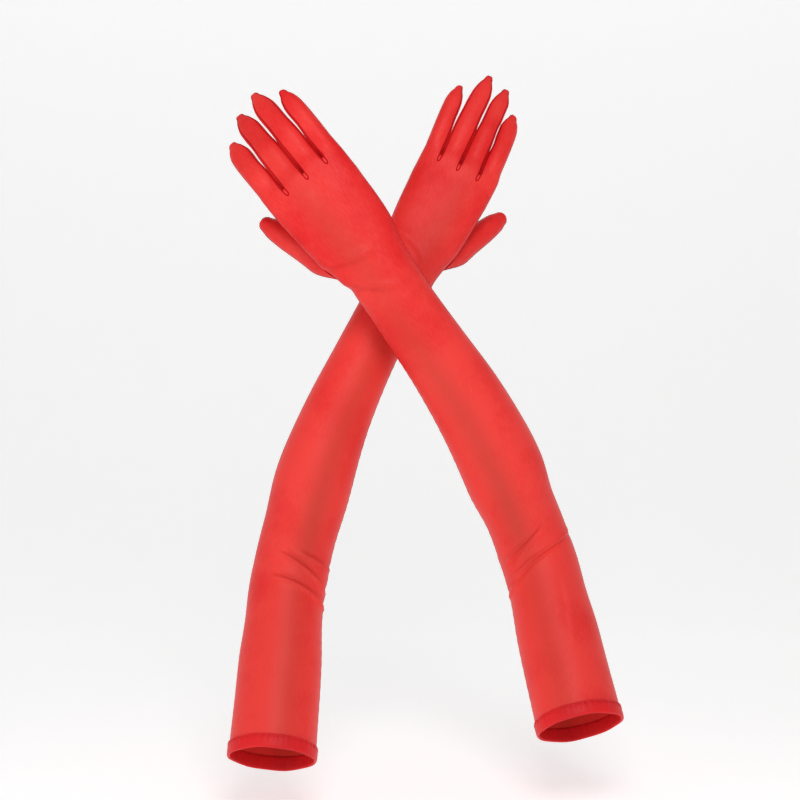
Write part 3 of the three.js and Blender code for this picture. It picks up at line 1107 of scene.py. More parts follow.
    def column_shares(self, along: np.ndarray) -> np.ndarray:
        """Where the columns of points run across each section.

        Args:
            along: Distances from the arm opening.

        Returns:
            For each section, the share of the half width at every step from the little-finger edge.
        """
        m, half = self.mesh, self.mesh.half
        even = -np.cos(np.pi * np.arange(half + 1) / half)
        parted = np.zeros(half + 1)
        width = self.hand_sizes.knuckles[0] * self.pose.spread
        for index, finger in enumerate(self.fingers):
            left, right = (finger.centre - finger.half) / width, (finger.centre + finger.half) / width
            t = np.linspace(0, 1, m.finger_columns + 1)
            if index == 0:
                left, t = -1.0, 1 - np.cos(t * np.pi / 2)
            if index == len(self.fingers) - 1:
                right, t = 1.0, np.sin(t * np.pi / 2)
            parted[finger.low : finger.high + 1] = left + (right - left) * t
        for before, after in zip(self.fingers, self.fingers[1:]):
            parted[before.high : after.low + 1] = np.linspace(
                parted[before.high], parted[after.low], m.web_columns + 1
            )
        mix = smoothstep((along - self.sleeve.wrist_at + 5) / 75.0)[:, None]
        return even * (1 - mix) + parted * mix

    def knit(self) -> Surface:
        """Build the glove's whole surface.

        Returns:
            Sleeve, hand and fingers as one sheet, parted by number.
        """
        cloth, m = Cloth(), self.mesh
        top = self.sleeve.wrist_at + self.hand_sizes.parting
        first = 1.0  # the sleeve's own cloth starts inside the folded hem
        along = np.linspace(first, top, int(round((top - first) / m.ring_step)) + 1)
        origin, x, y, _ = self.line.at(along)
        wide, deep, shift, power = self.sections(along)
        share = self.column_shares(along)
        depth = oval(share, power[:, None])
        columns = np.concatenate([share, share[:, -2:0:-1]], 1)
        rounding = np.concatenate([-depth, depth[:, -2:0:-1]], 1)
        across = columns * wide[:, None]
        points = (
            origin[:, None]
            + x[:, None] * (across + shift[:, None])[..., None]
            + y[:, None] * (rounding * deep[:, None])[..., None]
        )
        grid = cloth.add_points(points, along[:, None], across, rounding)
        self.grid, self.along_rows = grid, along
        part = np.array([self.row_part(row) for row in range(len(along) - 1)])
        width = np.linspace(0, self.sleeve.girth * MM, grid.shape[1] + 1)
        cloth.add_grid(grid, part, width, along * MM)
        self.add_fingers(cloth, Rim(grid[-1], points[-1]))
        return cloth.surface()

    def column_on(self, face: Face, column: int) -> int:
        """The column of points on one face of the glove, counted from the little-finger edge."""
        turn = 2 * self.mesh.half
        return column if face is Face.BACK else (turn - column) % turn

    def side_row(self, cloth: Cloth, rim: Rim, column: int, bulge: float | None) -> np.ndarray:
        """Add the points from the back to the palm below a gap, where the cloth sags into it.

        Args:
            cloth: Where to add them.
            rim: The hand's last ring.
            column: The column that the row starts from on the back.
            bulge: How far it bulges to the thumb side, or nothing in the middle of the gap.

        Returns:
            The index of each point of the row, with its two ends on the rim.
        """
        h, palm = self.hand_sizes, self.column_on(Face.PALM, column)
        sag = h.web_sag if bulge is None else h.web_edge_sag
        start, end = rim.places[column], rim.places[palm]
        t = np.linspace(0, 1, self.mesh.side_rows + 2)[1:-1, None]
        pushed = self.hand.basis[0] * (bulge or 0.0) - unit(self.hand.along) * sag
        inner = start + (end - start) * t + pushed * np.sin(np.pi * t)
        ids = cloth.add_points(inner, self.sleeve.wrist_at + h.parting, 0.0, -1.0)
        return np.concatenate([[rim.ids[column]], ids, [rim.ids[palm]]])

    def add_webs(self, cloth: Cloth, rim: Rim) -> dict[tuple[int, int], np.ndarray]:
        """Add the webs of cloth in the three gaps between the fingers.

        Args:
            cloth: Where to add them.
            rim: The hand's last ring.

        Returns:
            The row of points at each side of a gap, by its column and the side that its finger is on.
        """
        sides = {}
        for before, after in zip(self.fingers, self.fingers[1:]):
            space = after.centre - after.half - before.centre - before.half
            bulge = self.hand_sizes.web_bulge * space
            bulges = {before.high: bulge, after.low: -bulge}
            columns = range(before.high, after.low + 1)
            rows = [self.side_row(cloth, rim, column, bulges.get(column)) for column in columns]
            web = np.array(rows).T
            width, length = np.arange(web.shape[1]) * MM, np.arange(web.shape[0]) * MM
            cloth.add_grid(web, Part.LOWER.value, width, length, closed=False)
            sides[before.high, 1] = rows[0]
            sides[after.low, -1] = rows[-1]
        return sides

    def add_fingers(self, cloth: Cloth, rim: Rim) -> None:
        """Add the four finger stalls and the cloth between their roots.

        Args:
            cloth: Where to add them.
            rim: The hand's last ring.
        """
        sides = self.add_webs(cloth, rim)
        seam, side_points = math.radians(35), self.mesh.side_rows + 2
        self.finger_grids, self.finger_splits = [], []
        for index, finger in enumerate(self.fingers):
            first, last = index == 0, index == len(self.fingers) - 1
            columns = range(finger.high, finger.low - 1, -1)
            front = rim.ids[finger.low : finger.high + 1]
            back = np.array([rim.ids[self.column_on(Face.PALM, k)] for k in columns])
            low_seam, high_seam = 0 if first else seam, 0 if last else seam
            loop = [front]
            turn = [np.linspace(math.pi + low_seam, 2 * math.pi - high_seam, len(front))]
            if not last:
                loop.append(sides[finger.high, 1][1:-1])
                turn.append(np.linspace(-seam, seam, side_points)[1:-1])
            cut = slice(1 if last else 0, -1 if first else None)
            loop.append(back[cut])
            turn.append(np.linspace(high_seam, math.pi - low_seam, len(back))[cut])
            if not first:
                loop.append(sides[finger.low, -1][-2:0:-1])
                turn.append(np.linspace(math.pi - seam, math.pi + seam, side_points)[1:-1])
            self.add_stall(cloth, index, np.concatenate(loop), np.concatenate(turn))

    def add_stall(self, cloth: Cloth, index: int, loop: np.ndarray, turn: np.ndarray) -> None:
        """Add one finger stall from the loop of points at its root.

        Args:
            cloth: Where to add it.
            index: The finger's place, from the little finger.
            loop: Point indices at its root, in order.
            turn: The angle of each point round the finger.
        """
        finger = self.fingers[index]
        sizes = finger.sizes
        start = self.hand_sizes.parting - sizes.root
        straight = np.arange(start + self.mesh.finger_step, sizes.length * 0.9, self.mesh.finger_step)
        rounding = np.sin(np.linspace(0, np.pi / 2, self.mesh.tip_rows))
        tip = sizes.length * (0.9 + 0.1 * rounding)[1:-1]
        height = np.concatenate([straight, tip])
        t = height / sizes.length
        stations = [0, 0.25, 0.42, 0.6, 0.76, 0.87, 0.94]
        wide = finger.half * eased(t, stations, [1, 1.05, 1.1, 1.12, 1.06, 0.83, 0.48])
        deep = sizes.half_depth * eased(t, stations, [1, 0.97, 0.97, 0.88, 0.76, 0.6, 0.4])
        thumbward, outward = self.reach(index, 1, height, wide), self.reach(index, -1, height, wide)
        wide = np.where(np.cos(turn) > 0, thumbward[:, None], outward[:, None])
        # The last rows close over the fingertip to a blunt point.
        close = np.clip(1 - np.clip((t - 0.94) / 0.06, 0, 1) ** 2, 0, 1) ** 0.62
        origin, x, y, _ = finger.line.at(height + self.LEAD)
        power = 2.15
        side, depth = squared(np.cos(turn), power), squared(np.sin(turn), power)
        points = (
            origin[:, None]
            + x[:, None] * (wide * close[:, None] * side)[..., None]
            + y[:, None] * ((deep * close)[:, None] * depth)[..., None]
        )
        # The lowest rows keep the shape of the loop that they grow from.
        root = np.concatenate(cloth.points)[loop]
        rise = (height - start)[:, None, None]
        mix = smoothstep((height - start) / 11.0)[:, None, None]
        points = (root[None] + unit(finger.axes.along) * rise) * (1 - mix) + points * mix
        base = self.sleeve.wrist_at + sizes.root
        ids = cloth.add_points(points, (base + height)[:, None], finger.centre, depth)
        end, _, _, _ = finger.line.at(np.array([sizes.length + self.LEAD]))
        cap = cloth.add_points(end, base + sizes.length, finger.centre, -1.0)
        grid = np.concatenate([loop[None], ids, np.repeat(cap, len(loop))[None]])
        levels = np.concatenate([[start], height, [sizes.length]])
        split = int(np.searchsorted(levels, sizes.middle_at - sizes.end_below))
        rows = np.arange(len(levels) - 1)
        part = np.where(rows < split, Part.ROOTS.value + index, Part.ENDS.value + index)
        width = np.linspace(0, 2 * np.pi * finger.half, len(loop) + 1) * MM
        cloth.add_grid(grid, part, width, (base + levels) * MM)
        self.finger_splits.append(split)
        self.finger_grids.append(grid)

    def reach(self, index: int, side: int, height: np.ndarray, wide: np.ndarray) -> np.ndarray:
        """How far a finger stall reaches to one side, where it fills the gap to its neighbour.

        Args:
            index: The finger's place, from the little finger.
            side: 1 to the thumb side and -1 to the other.
            height: Distances from the finger's root.
            wide: Its half width when nothing is beside it.

        Returns:
            The reach at each height.
        """
        if not 0 <= index + side < len(self.fingers):
            return wide
        gap, finger, neighbour = GapSizes(), self.fingers[index], self.fingers[index + side]
        t = height / finger.sizes.length
        origin, x, _, _ = finger.line.at(height + self.LEAD)
        other, _, _, _ = neighbour.line.at(height + self.LEAD + finger.sizes.root - neighbour.sizes.root)
        space = np.abs(((other - origin) * x).sum(1)) * finger.half / (finger.half + neighbour.half)
        slit = gap.slit * smoothstep((t - gap.opens_at) / gap.opens_over) - gap.press
        filled = np.clip(space - slit, gap.narrowest * wide, gap.widest * wide)
        wanted = wide + (filled - wide) * smoothstep((gap.free_at - t) / gap.free_over)
        return np.minimum(wanted, np.maximum(space + gap.press, gap.narrowest * wide))

    def part_objects(self, surface: Surface) -> dict[int, bpy.types.Object]:
        """Part the finished surface into its pieces.

        Args:
            surface: The glove's cloth.

        Returns:
            The piece for each part number.
        """
        normals = surface.normals()
        return {int(number): self.piece(int(number), surface, normals) for number in np.unique(surface.parts)}

    def piece(self, number: int, surface: Surface, normals: np.ndarray) -> bpy.types.Object:
        """Make one piece of cloth with the sewing on it.

        Args:
            number: The piece's part number.
            surface: The cloth that it is part of.
            normals: The cloth's outward directions, kept over the borders.

        Returns:
            The new object.
        """
        chosen = surface.parts == number
        quads, measures = surface.quads[chosen], surface.measures[chosen]
        used, index = np.unique(quads, return_inverse=True)
        index = index.reshape(quads.shape)
        places, outward, finish = [surface.points[used]], [normals[used]], [Finish.CLOTH.value] * len(index)
        thin_and_shade_share = self.thin_and_shade_share(surface, used)
        # Painted light: the sleeve is coloured lighter than the hand, for the stronger light on the forearms
        # and elbows.
        painted_lightness = smoothstep((self.sleeve.wrist_at + 10 - surface.along[used]) / 110.0)
        for trim in self.trims[number]:
            first = sum(len(p) for p in places)
            index = np.concatenate([index, trim.quads + first])
            corners = trim.points[trim.quads][..., [0, 2]] * MM
            measures = np.concatenate([measures, corners])
            finish += [trim.finish.value] * len(trim.quads)
            places.append(trim.points)
            outward.append(trim.normals)
            thin_and_shade_share = np.concatenate([thin_and_shade_share, np.zeros(len(trim.points))])
            painted_lightness = np.concatenate([painted_lightness, np.zeros(len(trim.points))])
        if self.pose.side is Side.RIGHT:
            index, measures = index[:, ::-1], measures[:, ::-1]
        faces, uvs = [], []
        for corners, uv in zip(index.tolist(), measures.tolist()):
            kept = [k for k in range(4) if corners[k] != corners[(k + 1) % 4]]
            faces.append([corners[k] for k in kept])
            uvs.extend(uv[k] for k in kept)
        name = self.named(PART_NAMES[number])
        mesh = bpy.data.meshes.new(name)
        mesh.from_pydata(self.world(np.concatenate(places)).tolist(), [], faces)
        layer = mesh.uv_layers.new(name="cloth")
        layer.data.foreach_set("uv", np.array(uvs, float).ravel())
        # One attribute carries a browner band, partly painted shade; the other carries painted light on the
        # sleeve.
        for label, values in (("thin", thin_and_shade_share), ("taut", painted_lightness)):
            attribute = mesh.attributes.new(label, "FLOAT", "POINT")
            attribute.data.foreach_set("value", values.astype(np.float32))
        mesh.polygons.foreach_set("use_smooth", [True] * len(mesh.polygons))
        mesh.materials.append(self.hem if number == Part.HEM.value else self.satin)
        mesh.materials.append(self.thread)
        mesh.polygons.foreach_set("material_index", finish)
        mesh.normals_split_custom_set_from_vertices((np.concatenate(outward) * self.mirror).tolist())
        mesh.update()
        piece = bpy.data.objects.new(name, mesh)
        bpy.context.scene.collection.objects.link(piece)
        return piece

    def thin_and_shade_share(self, surface: Surface, used: np.ndarray) -> np.ndarray:
        """How much the cloth is stretched thinner along the middle of the arm, with painted shade: the band
        sits towards the thumb side, where each arm faces the other and lies in shade.

        Args:
            surface: The cloth.
            used: The points to look at.

        Returns:
            From 0 to 1 at each point.
        """
        along, across, face = surface.along[used], surface.across[used], surface.face[used]
        stations = [0, 60, 150, 200, 260, 340, 420, 470, 540]
        forearm = eased(along, stations, [0.5, 0.55, 0.5, 0.85, 0.7, 0.6, 0.35, 0.45, 0.1])
        # Painted shade: the band is moved 10 mm to the thumb side, which faces the other arm and lies in
        # shade.
        middle = np.exp(-(((across - 10.0) / 12.0) ** 2))
        return np.clip(forearm * middle * (0.4 + 0.6 * np.abs(face)), 0, 1)

    def bend_at(
        self, centre: np.ndarray, direction: np.ndarray, before: float, after: float
    ) -> dict[str, tuple[float, ...]]:
        """The stretch of cloth that bends at a joint.

        Args:
            centre: The joint.
            direction: The way that the cloth runs there.
            before: The length that bends before the joint.
            after: The length that bends after it.

        Returns:
            The start and end of the bend, in the row frame.
        """
        ends = self.world(np.array([centre - direction * before, centre + direction * after]))
        return {"start": tuple(ends[0]), "end": tuple(ends[1])}

    def fit(self, pieces: dict[int, bpy.types.Object]) -> None:
        """Bake each piece's placing into its mesh and hide the imported parts that it stands in for. The bend
        at each joint is worked out but not used.

        Args:
            pieces: The piece for each part number.
        """
        s = self.sleeve
        upper, forearm, hand = lean(*self.pose.upper), lean(*self.pose.forearm), lean(*self.pose.hand)
        elbow = upper * s.upper_length
        sleeve, lower = pieces[Part.UPPER.value], pieces[Part.LOWER.value]
        bend = self.bend_at(elbow, unit(upper + forearm), s.elbow_bend, s.elbow_bend)
        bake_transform(sleeve)
        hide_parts(self.named("upper_sleeve"), self.named("forearm_sleeve"))
        bend = self.bend_at(self.hand.origin, unit(forearm + hand), s.wrist_bend, s.wrist_bend)
        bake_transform(lower)
        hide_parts(*(self.named(n) for n in HAND_NODES))
        for index, finger in enumerate(self.fingers):
            name, sizes = finger.sizes.name, finger.sizes
            start = self.hand_sizes.parting - sizes.root
            root, end = pieces[Part.ROOTS.value + index], pieces[Part.ENDS.value + index]
            middle, along = sizes.middle_at, unit(finger.axes.along)
            bend = self.bend_at(finger.axes.origin, along, -start, middle - sizes.root_bend_below)
            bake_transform(root)
            bend = self.bend_at(finger.axes.at(0, 0, middle), along, sizes.end_bend, sizes.end_bend)
            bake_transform(end)
            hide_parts(self.named(f"{name}_stall"))
            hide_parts(self.named(f"{name}_tip"))

    def make_thumb(self) -> bpy.types.Object:
        """Make the set-in thumb stall, which flares where it is sewn into the palm.

        Returns:
            The stall.
        """
        t, pose, m = self.thumb_sizes, self.pose, self.mesh
        axes = self.hand.turned(self.hand.at(t.side * pose.spread, t.depth, t.height), *pose.thumb)
        rounding = np.sin(np.linspace(0, np.pi / 2, m.tip_rows))[1:-1]
        share = np.concatenate([np.linspace(t.root, t.tip, m.thumb_rows), t.tip + (1 - t.tip) * rounding])
        stations = [t.root, 0, 0.14, 0.4, 0.66, 0.84, 0.93]
        wide = t.half_width * eased(share, stations, [1.0, 1.15, 1.2, 1.06, 0.98, 0.83, 0.6])
        # Its lowest rows sink into the palm, where they stay out of sight.
        sunk = smoothstep((0.26 - share) / 0.38)[:, None, None] * self.hand.basis
        close = np.sqrt(np.clip(1 - np.clip((share - 0.93) / 0.07, 0, 1) ** 2, 0, 1))
        turn = np.linspace(0, 2 * np.pi, m.thumb_columns, endpoint=False)
        basis = axes.basis
        points = (
            axes.origin
            + basis[2] * (share * t.length)[:, None, None]
            - sunk[:, :1] * t.inset[0]
            - sunk[:, 1:2] * t.inset[1]
            + basis[0] * ((wide * close)[:, None] * np.cos(turn))[..., None]
            + basis[1] * ((wide * close)[:, None] * np.sin(turn) * t.flatness)[..., None]
        )
        cloth = Cloth()
        base, beside = self.sleeve.wrist_at + t.height, 40.0
        ids = cloth.add_points(points, (base + share * t.length)[:, None], beside, np.sin(turn))
        cap = cloth.add_points(axes.at(0, 0, t.length)[None], base + t.length, beside, -1.0)
        grid = np.concatenate([ids, np.repeat(cap, m.thumb_columns)[None]])
        width = np.linspace(0, 2 * np.pi * t.half_width, m.thumb_columns + 1) * MM
        lengths = np.concatenate([base + share * t.length, [base + t.length]]) * MM
        cloth.add_grid(grid, Part.THUMB.value, width, lengths)
        surface = cloth.surface()
        normals = surface.normals()
        self.sew_thumb(surface, normals, grid)
        piece = self.piece(Part.THUMB.value, surface, normals)
        side, bend = pose.side.value, self.bend_at(axes.origin, basis[2], 0.0, t.bend)
        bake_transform(piece)
        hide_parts(self.named("thumb"))
        return piece

    def make_hem(self) -> bpy.types.Object:
        """Make the hem band: the cloth turned up, rolled at the edge and sewn down.

        Returns:
            The band.
        """
        s, h, around = self.sleeve, self.hem_sizes, self.mesh.hem_columns
        profile = np.array(h.profile)
        turn = np.linspace(0, 2 * np.pi, around, endpoint=False)
        # The stitches pucker the band, and its edge doesn't lie in one plane.
        pucker = 0.28 * np.sin(turn * 46 + 1.3 * np.sin(turn * 5)) + 0.16 * np.sin(turn * 19 + 0.7)
        heave = 0.35 * np.sin(turn * 3 + 0.5) + 0.22 * np.sin(turn * 7 + 2.0)
        along = profile[:, 0]
        origin, x, y, _ = self.line.at(along)
        stitched = np.exp(-(((along[:, None] - h.stitched_at) / h.stitched_width) ** 2))
        push = profile[:, 1:2] + pucker * stitched
        wide, deep = s.hem[0] + push, s.hem[1] + push
        z = unit(lean(*self.pose.upper))
        points = (
            origin[:, None]
            + x[:, None] * (wide * np.cos(turn))[..., None]
            + y[:, None] * (deep * np.sin(turn))[..., None]
            + z * (heave * (1 - along[:, None] / h.fade))[..., None]
        )
        cloth = Cloth()
        ids = cloth.add_points(points, along[:, None], s.hem[0] * np.cos(turn), np.sin(turn))
        grid = np.concatenate([ids, ids[:1]])[::-1]
        width = np.linspace(0, h.girth * MM, around + 1)
        cloth.add_grid(grid, Part.HEM.value, width, np.linspace(0, h.cloth * MM, len(ids) + 1))
        surface = cloth.surface()
        normals = surface.normals()
        self.sew_hem(surface, normals, ids)
        piece = self.piece(Part.HEM.value, surface, normals)
        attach(piece, "upper_sleeves")
        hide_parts(self.named("hem_band"))
        return piece

    def sew(
        self, surface: Surface, normals: np.ndarray, ids: np.ndarray, parts: np.ndarray, welt: Welt
    ) -> None:
        """Sew one seam.

        Args:
            surface: The cloth it lies on.
            normals: The cloth's outward directions.
            ids: The points that it follows.
            parts: The part that each of its steps lies on.
            welt: How it stands up.
        """
        for part, trim in welt.run(surface.points[ids], normals[ids], parts).items():
            self.trims[part].append(trim)

    def sew_fingers(self, surface: Surface, normals: np.ndarray) -> None:
        """Sew the strips between the fingers to the back and the palm, and the two side seams.

        Args:
            surface: The glove's cloth.
            normals: The cloth's outward directions.
        """
        half, point = self.mesh.half, 3  # the strip's seams meet in a point this many rows below the gap
        for face in Face:
            for index, (before, after) in enumerate(zip(self.fingers, self.fingers[1:])):
                low, high = self.column_on(face, before.high), self.column_on(face, after.low)
                between = self.column_on(face, (before.high + after.low) // 2)
                down = self.stall_line(index, self.grid[-1, low])[::-1]
                up = self.stall_line(index + 1, self.grid[-1, high])
                around = ((-2, low), (-1 - point, low), (-2 - point, between), (-1 - point, high), (-2, high))
                below = [(self.grid[row, column], Part.LOWER.value) for row, column in around]
                self.sew_chain(surface, normals, down + below + up, Welt())
        for edge, index in ((0, 0), (half, len(self.fingers) - 1)):
            sleeve = [(int(self.grid[row, edge]), self.row_part(row)) for row in range(len(self.grid) - 1)]
            chain = sleeve + self.stall_line(index, self.grid[-1, edge])
            self.sew_chain(surface, normals, chain, Welt(0.45, 0.22))

    def row_part(self, row: int) -> int:
        """The part that a row of the sleeve belongs to."""
        split_at = self.sleeve.upper_length + self.sleeve.forearm_length * self.sleeve.parted_at
        return Part.UPPER.value if self.along_rows[row] < split_at else Part.LOWER.value

    def stall_line(self, index: int, root: int) -> list[tuple[int, int]]:
        """The points of a finger stall above one point of its root.

        Args:
            index: The finger's place, from the little finger.
            root: The point of its root.

        Returns:
            Each point up to the tip, with its part.
        """
        grid = self.finger_grids[index]
        column = int(np.nonzero(grid[0] == root)[0][0])
        split = self.finger_splits[index]
        return [
            (int(point), (Part.ROOTS if row < split else Part.ENDS).value + index)
            for row, point in enumerate(grid[:, column])
        ]

    def sew_chain(
        self, surface: Surface, normals: np.ndarray, chain: list[tuple[int, int]], welt: Welt
    ) -> None:
        """Sew a seam along points that each know their part.

        Args:
            surface: The cloth it lies on.
            normals: The cloth's outward directions.
            chain: Each point with its part.
            welt: How the seam stands up.
        """
        ids = np.array([point for point, _ in chain])
        owner = np.array([part for _, part in chain])
        # A step between two parts lies on the one nearer the hand.
        steps = np.minimum(owner[:-1], owner[1:])
        self.sew(surface, normals, ids, steps, welt)

    def sew_thumb(self, surface: Surface, normals: np.ndarray, grid: np.ndarray) -> None:
        """Sew the thumb into its hole and close its two sides.

        Args:
            surface: The thumb's cloth.
            normals: Its outward directions.
            grid: Its rings of points.
        """
        entry = self.thumb_entry(surface, grid)
        low = np.floor(entry).astype(int)
        mix = (entry - low)[:, None]
        columns = np.arange(grid.shape[1])
        ring = surface.points[grid[low, columns]] * (1 - mix) + surface.points[grid[low + 1, columns]] * mix
        outward = normals[grid[low, columns]]
        ring, outward = np.concatenate([ring, ring[:2]]), np.concatenate([outward, outward[:2]])
        owner = np.full(len(ring) - 1, Part.THUMB.value)
        for part, trim in Welt(0.8, 0.55).run(ring, outward, owner).items():
            self.trims[part].append(trim)
        for column in (0, grid.shape[1] // 2):
            ids = grid[low[column] :, column]
            self.sew(surface, normals, ids, np.full(len(ids) - 1, Part.THUMB.value), Welt(0.6, 0.4))

    def thumb_entry(self, surface: Surface, grid: np.ndarray) -> np.ndarray:
        """Find where the thumb comes out of the palm.

        Args:
            surface: The thumb's cloth.
            grid: Its rings of points.

        Returns:
            For each column of the thumb, the ring that lies on the palm, evened out round it.
        """
        tree = BVHTree.FromPolygons(self.hand_cloth.points.tolist(), self.hand_cloth.quads.tolist())
        entry = []
        for column in range(grid.shape[1]):
            outside = None
            for row in range(grid.shape[0] - 1, -1, -1):
                point = Vector(surface.points[grid[row, column]])
                place, normal, _, _ = tree.find_nearest(point)
                if (point - place).dot(normal) < 0:
                    break
                outside = row
            entry.append(outside if outside is not None else grid.shape[0] // 3)
        entry = np.array(entry, float)
        for _ in range(6):
            entry = (np.roll(entry, 1) + entry + np.roll(entry, -1)) / 3
        return entry

    def sew_hem(self, surface: Surface, normals: np.ndarray, ids: np.ndarray) -> None:
        """Stitch the hem band down in two rows.

        Args:
            surface: The band's cloth.
            normals: Its outward directions.
            ids: Its rings of points.
        """
        for row in self.hem_sizes.stitch_rows:
            line = np.concatenate([surface.points[ids[row]], surface.points[ids[row, :1]]])
            outward = np.concatenate([normals[ids[row]], normals[ids[row, :1]]])
            reach = lengths_along(line)
            count = int(reach[-1] / self.hem_sizes.stitch_pitch)
            at = (np.arange(count) + 0.5) * reach[-1] / count
            ahead, behind = np.minimum(at + 0.5, reach[-1]), at - 0.5
            along = unit(read_rows(ahead, reach, line) - read_rows(behind, reach, line))
            places, up = read_rows(at, reach, line), unit(read_rows(at, reach, outward))
            self.trims[Part.HEM.value].append(Stitches().lay(places, along, up))

    def shape_cloth(self, surface: Surface) -> None:
        """Give the worn cloth its softness: even webs, folds and small unevenness.

        Args:
            surface: The glove's cloth, which is changed.
        """
        u, wrist_at = Unevenness(), self.sleeve.wrist_at
        top = wrist_at + self.hand_sizes.parting
        near = smoothstep(1 - np.abs(surface.along - top - 1.0) / u.web_reach)
        surface.relax(near, rounds=u.web_rounds)
        along, across, face = surface.along, surface.across, surface.face
        lift = np.zeros(len(surface.points))
        for fold in self.pose.folds:
            lift += fold.lift(along, across, face)
        swell = np.sin(along / u.swell_along + across / u.swell_across)
        lift += u.swell * swell * np.sin(along / u.swell_slow)
        back = smoothstep(-face / 0.6)
        for finger in self.fingers:
            off = np.hypot(along - wrist_at - self.hand_sizes.knuckles_at, across - finger.centre)
            lift += u.knuckle_height * np.exp(-((off / u.knuckle_radius) ** 2)) * back
        edge = np.exp(-((np.abs(face) / u.pucker_width) ** 2)) * (across > 0)
        sleeve = smoothstep((along - 15) / 20) * smoothstep((wrist_at - along) / 20)
        drift = 2.0 * np.sin(along / u.pucker_drift)
        lift += u.pucker * np.sin(along / u.pucker_pitch + drift) * edge * sleeve
        surface.points = surface.points + surface.normals() * lift[:, None]

    def make(self) -> list[bpy.types.Object]:
        """Build every piece of this glove.

        Returns:
            Its pieces.
        """
        surface = self.knit()
        self.shape_cloth(surface)
        self.hand_cloth = surface
        self.sew_fingers(surface, surface.normals())
        pieces = self.part_objects(surface)
        self.fit(pieces)
        made = [*pieces.values(), self.make_thumb(), self.make_hem()]
        for piece in made:
            LOG.info("%s: %d faces", piece.name, len(piece.data.polygons))
        return made


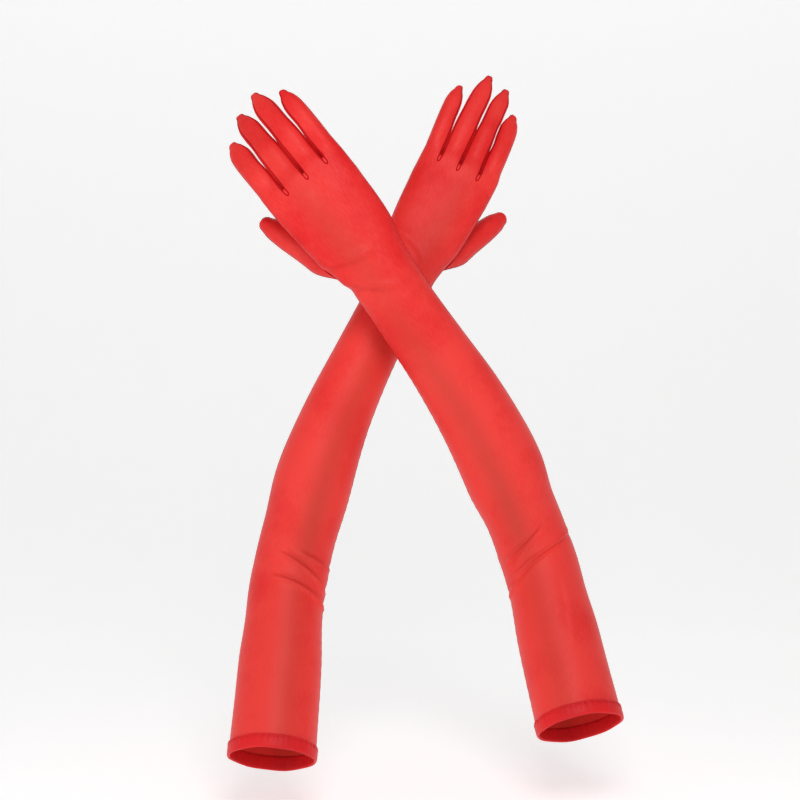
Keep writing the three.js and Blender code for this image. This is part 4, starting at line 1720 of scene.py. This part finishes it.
@dataclass(frozen=True)
class Studio:
    """A plain pale set with soft light, and the camera in front of the crossed gloves."""

    camera_at: tuple[float, float, float] = (0.1017, -1.3464, 0.2851)
    field_at: float = 1.4
    field_width: float = 0.66
    floor_height: float = -0.046
    front_edge: float = -5.0
    half_width: float = 5.0
    wall_behind: float = 2.2
    wall_top: float = 3.0
    cove: float = 1.2
    cove_steps: int = 32
    glow: float = 0.34
    overall: float = 0.4

    def pale(self) -> bpy.types.Material:
        """Make the matt paper of floor and backdrop, faintly lit from behind.

        Returns:
            Its material.
        """
        material = bpy.data.materials.new("pale_paper")
        material.use_nodes = True
        tree = material.node_tree
        shader = tree.nodes["Principled BSDF"]
        shader.inputs["Roughness"].default_value = 0.9
        shader.inputs["Specular IOR Level"].default_value = 0.1
        shader.inputs["Emission Color"].default_value = (1.0, 1.0, 1.0, 1.0)
        shader.inputs["Emission Strength"].default_value = self.glow
        noise = tree.nodes.new("ShaderNodeTexNoise")
        noise.inputs["Scale"].default_value = 3.0
        ramp = tree.nodes.new("ShaderNodeMapRange")
        ramp.inputs["To Min"].default_value = 0.92
        ramp.inputs["To Max"].default_value = 0.95
        tree.links.new(noise.outputs["Fac"], ramp.inputs["Value"])
        tree.links.new(ramp.outputs["Result"], shader.inputs["Base Color"])
        return material

    def build_set(self) -> None:
        """Make the floor, which curves up into the backdrop."""
        centre = self.wall_behind - self.cove
        profile = [(self.front_edge, self.floor_height), (centre, self.floor_height)]
        for k in range(1, self.cove_steps + 1):
            angle = math.pi / 2 * k / self.cove_steps
            rise = self.cove * (1 - math.cos(angle))
            profile.append((centre + self.cove * math.sin(angle), self.floor_height + rise))
        profile.append((self.wall_behind, self.wall_top))
        verts = [(x, y, z) for y, z in profile for x in (-self.half_width, self.half_width)]
        faces = [(2 * k, 2 * k + 1, 2 * k + 3, 2 * k + 2) for k in range(len(profile) - 1)]
        mesh = bpy.data.meshes.new("floor")
        mesh.from_pydata(verts, [], faces)
        mesh.polygons.foreach_set("use_smooth", [True] * len(faces))
        mesh.materials.append(self.pale())
        floor = bpy.data.objects.new("floor", mesh)
        bpy.context.scene.collection.objects.link(floor)

    def add_light(self, name: str, at: Vector, aim: Vector, size: float, power: float) -> None:
        """Hang one soft box.

        Args:
            name: What to call it.
            at: Where it hangs.
            aim: What it points at.
            size: Its side.
            power: Its power in watts.
        """
        data = bpy.data.lights.new(name, "AREA")
        data.shape, data.size, data.energy = "SQUARE", size, power
        lamp = bpy.data.objects.new(name, data)
        lamp.location = at
        lamp.rotation_mode = "QUATERNION"
        lamp.rotation_quaternion = (aim - at).to_track_quat("-Z", "Y")
        bpy.context.scene.collection.objects.link(lamp)

    def build_light(self) -> None:
        """Set the soft boxes and a faint overall light."""
        low, high = CAD_BOX
        centre = (Vector(low) + Vector(high)) / 2
        self.add_light("top_softbox", centre + Vector((0.05, -1.1, 0.66)), centre, 0.5, 7.4)
        self.add_light("left_softbox", centre + Vector((-1.1, -1.0, -0.3)), centre, 1.5, 6.0)
        world = bpy.data.worlds.new("studio")
        world.use_nodes = True
        background = world.node_tree.nodes["Background"]
        background.inputs["Color"].default_value = (1.0, 1.0, 1.0, 1.0)
        background.inputs["Strength"].default_value = self.overall
        bpy.context.scene.world = world

    def build_camera(self) -> None:
        """Place the level camera in front of the gloves."""
        data = bpy.data.cameras.new("camera")
        data.sensor_width = 36.0
        data.lens = data.sensor_width * self.field_at / self.field_width
        camera = bpy.data.objects.new("camera", data)
        camera.location = self.camera_at
        camera.rotation_euler = (math.pi / 2, 0.0, 0.0)
        bpy.context.scene.collection.objects.link(camera)
        bpy.context.scene.camera = camera

    def build(self) -> None:
        """Build set, light and camera."""
        self.build_set()
        self.build_light()
        self.build_camera()
        bpy.context.scene.view_settings.view_transform = "Standard"


SATIN = Satin(
    name="scarlet_satin",
    bright=(0.83, 0.046, 0.038),
    deep=(0.7, 0.009, 0.011),
    worn_thin=(0.54, 0.042, 0.026),
)
HEM_SATIN = Satin(
    name="doubled_satin_hem",
    bright=(0.74, 0.014, 0.017),
    deep=(0.58, 0.008, 0.013),
    worn_thin=(0.54, 0.012, 0.015),
    rib_depth=0.25,
)
SEWING = Satin(
    name="seam_thread",
    bright=(0.52, 0.007, 0.012),
    deep=(0.4, 0.004, 0.009),
    worn_thin=(0.46, 0.005, 0.01),
    roughness=0.8,
    sheen=0.0,
    gloss=0.02,
)


def main() -> None:
    """Build both gloves and the studio round them."""
    logging.basicConfig(level=logging.INFO, format="%(name)s: %(message)s")
    satin, hem, thread = SATIN.make(), HEM_SATIN.make(), SEWING.make()
    for pose in (LEFT_POSE, RIGHT_POSE):
        made = Glove(pose, satin, hem, thread).make()
        LOG.info("%s glove: %d pieces", pose.side.value, len(made))
    Studio().build()


if __name__ == "__main__":
    main()
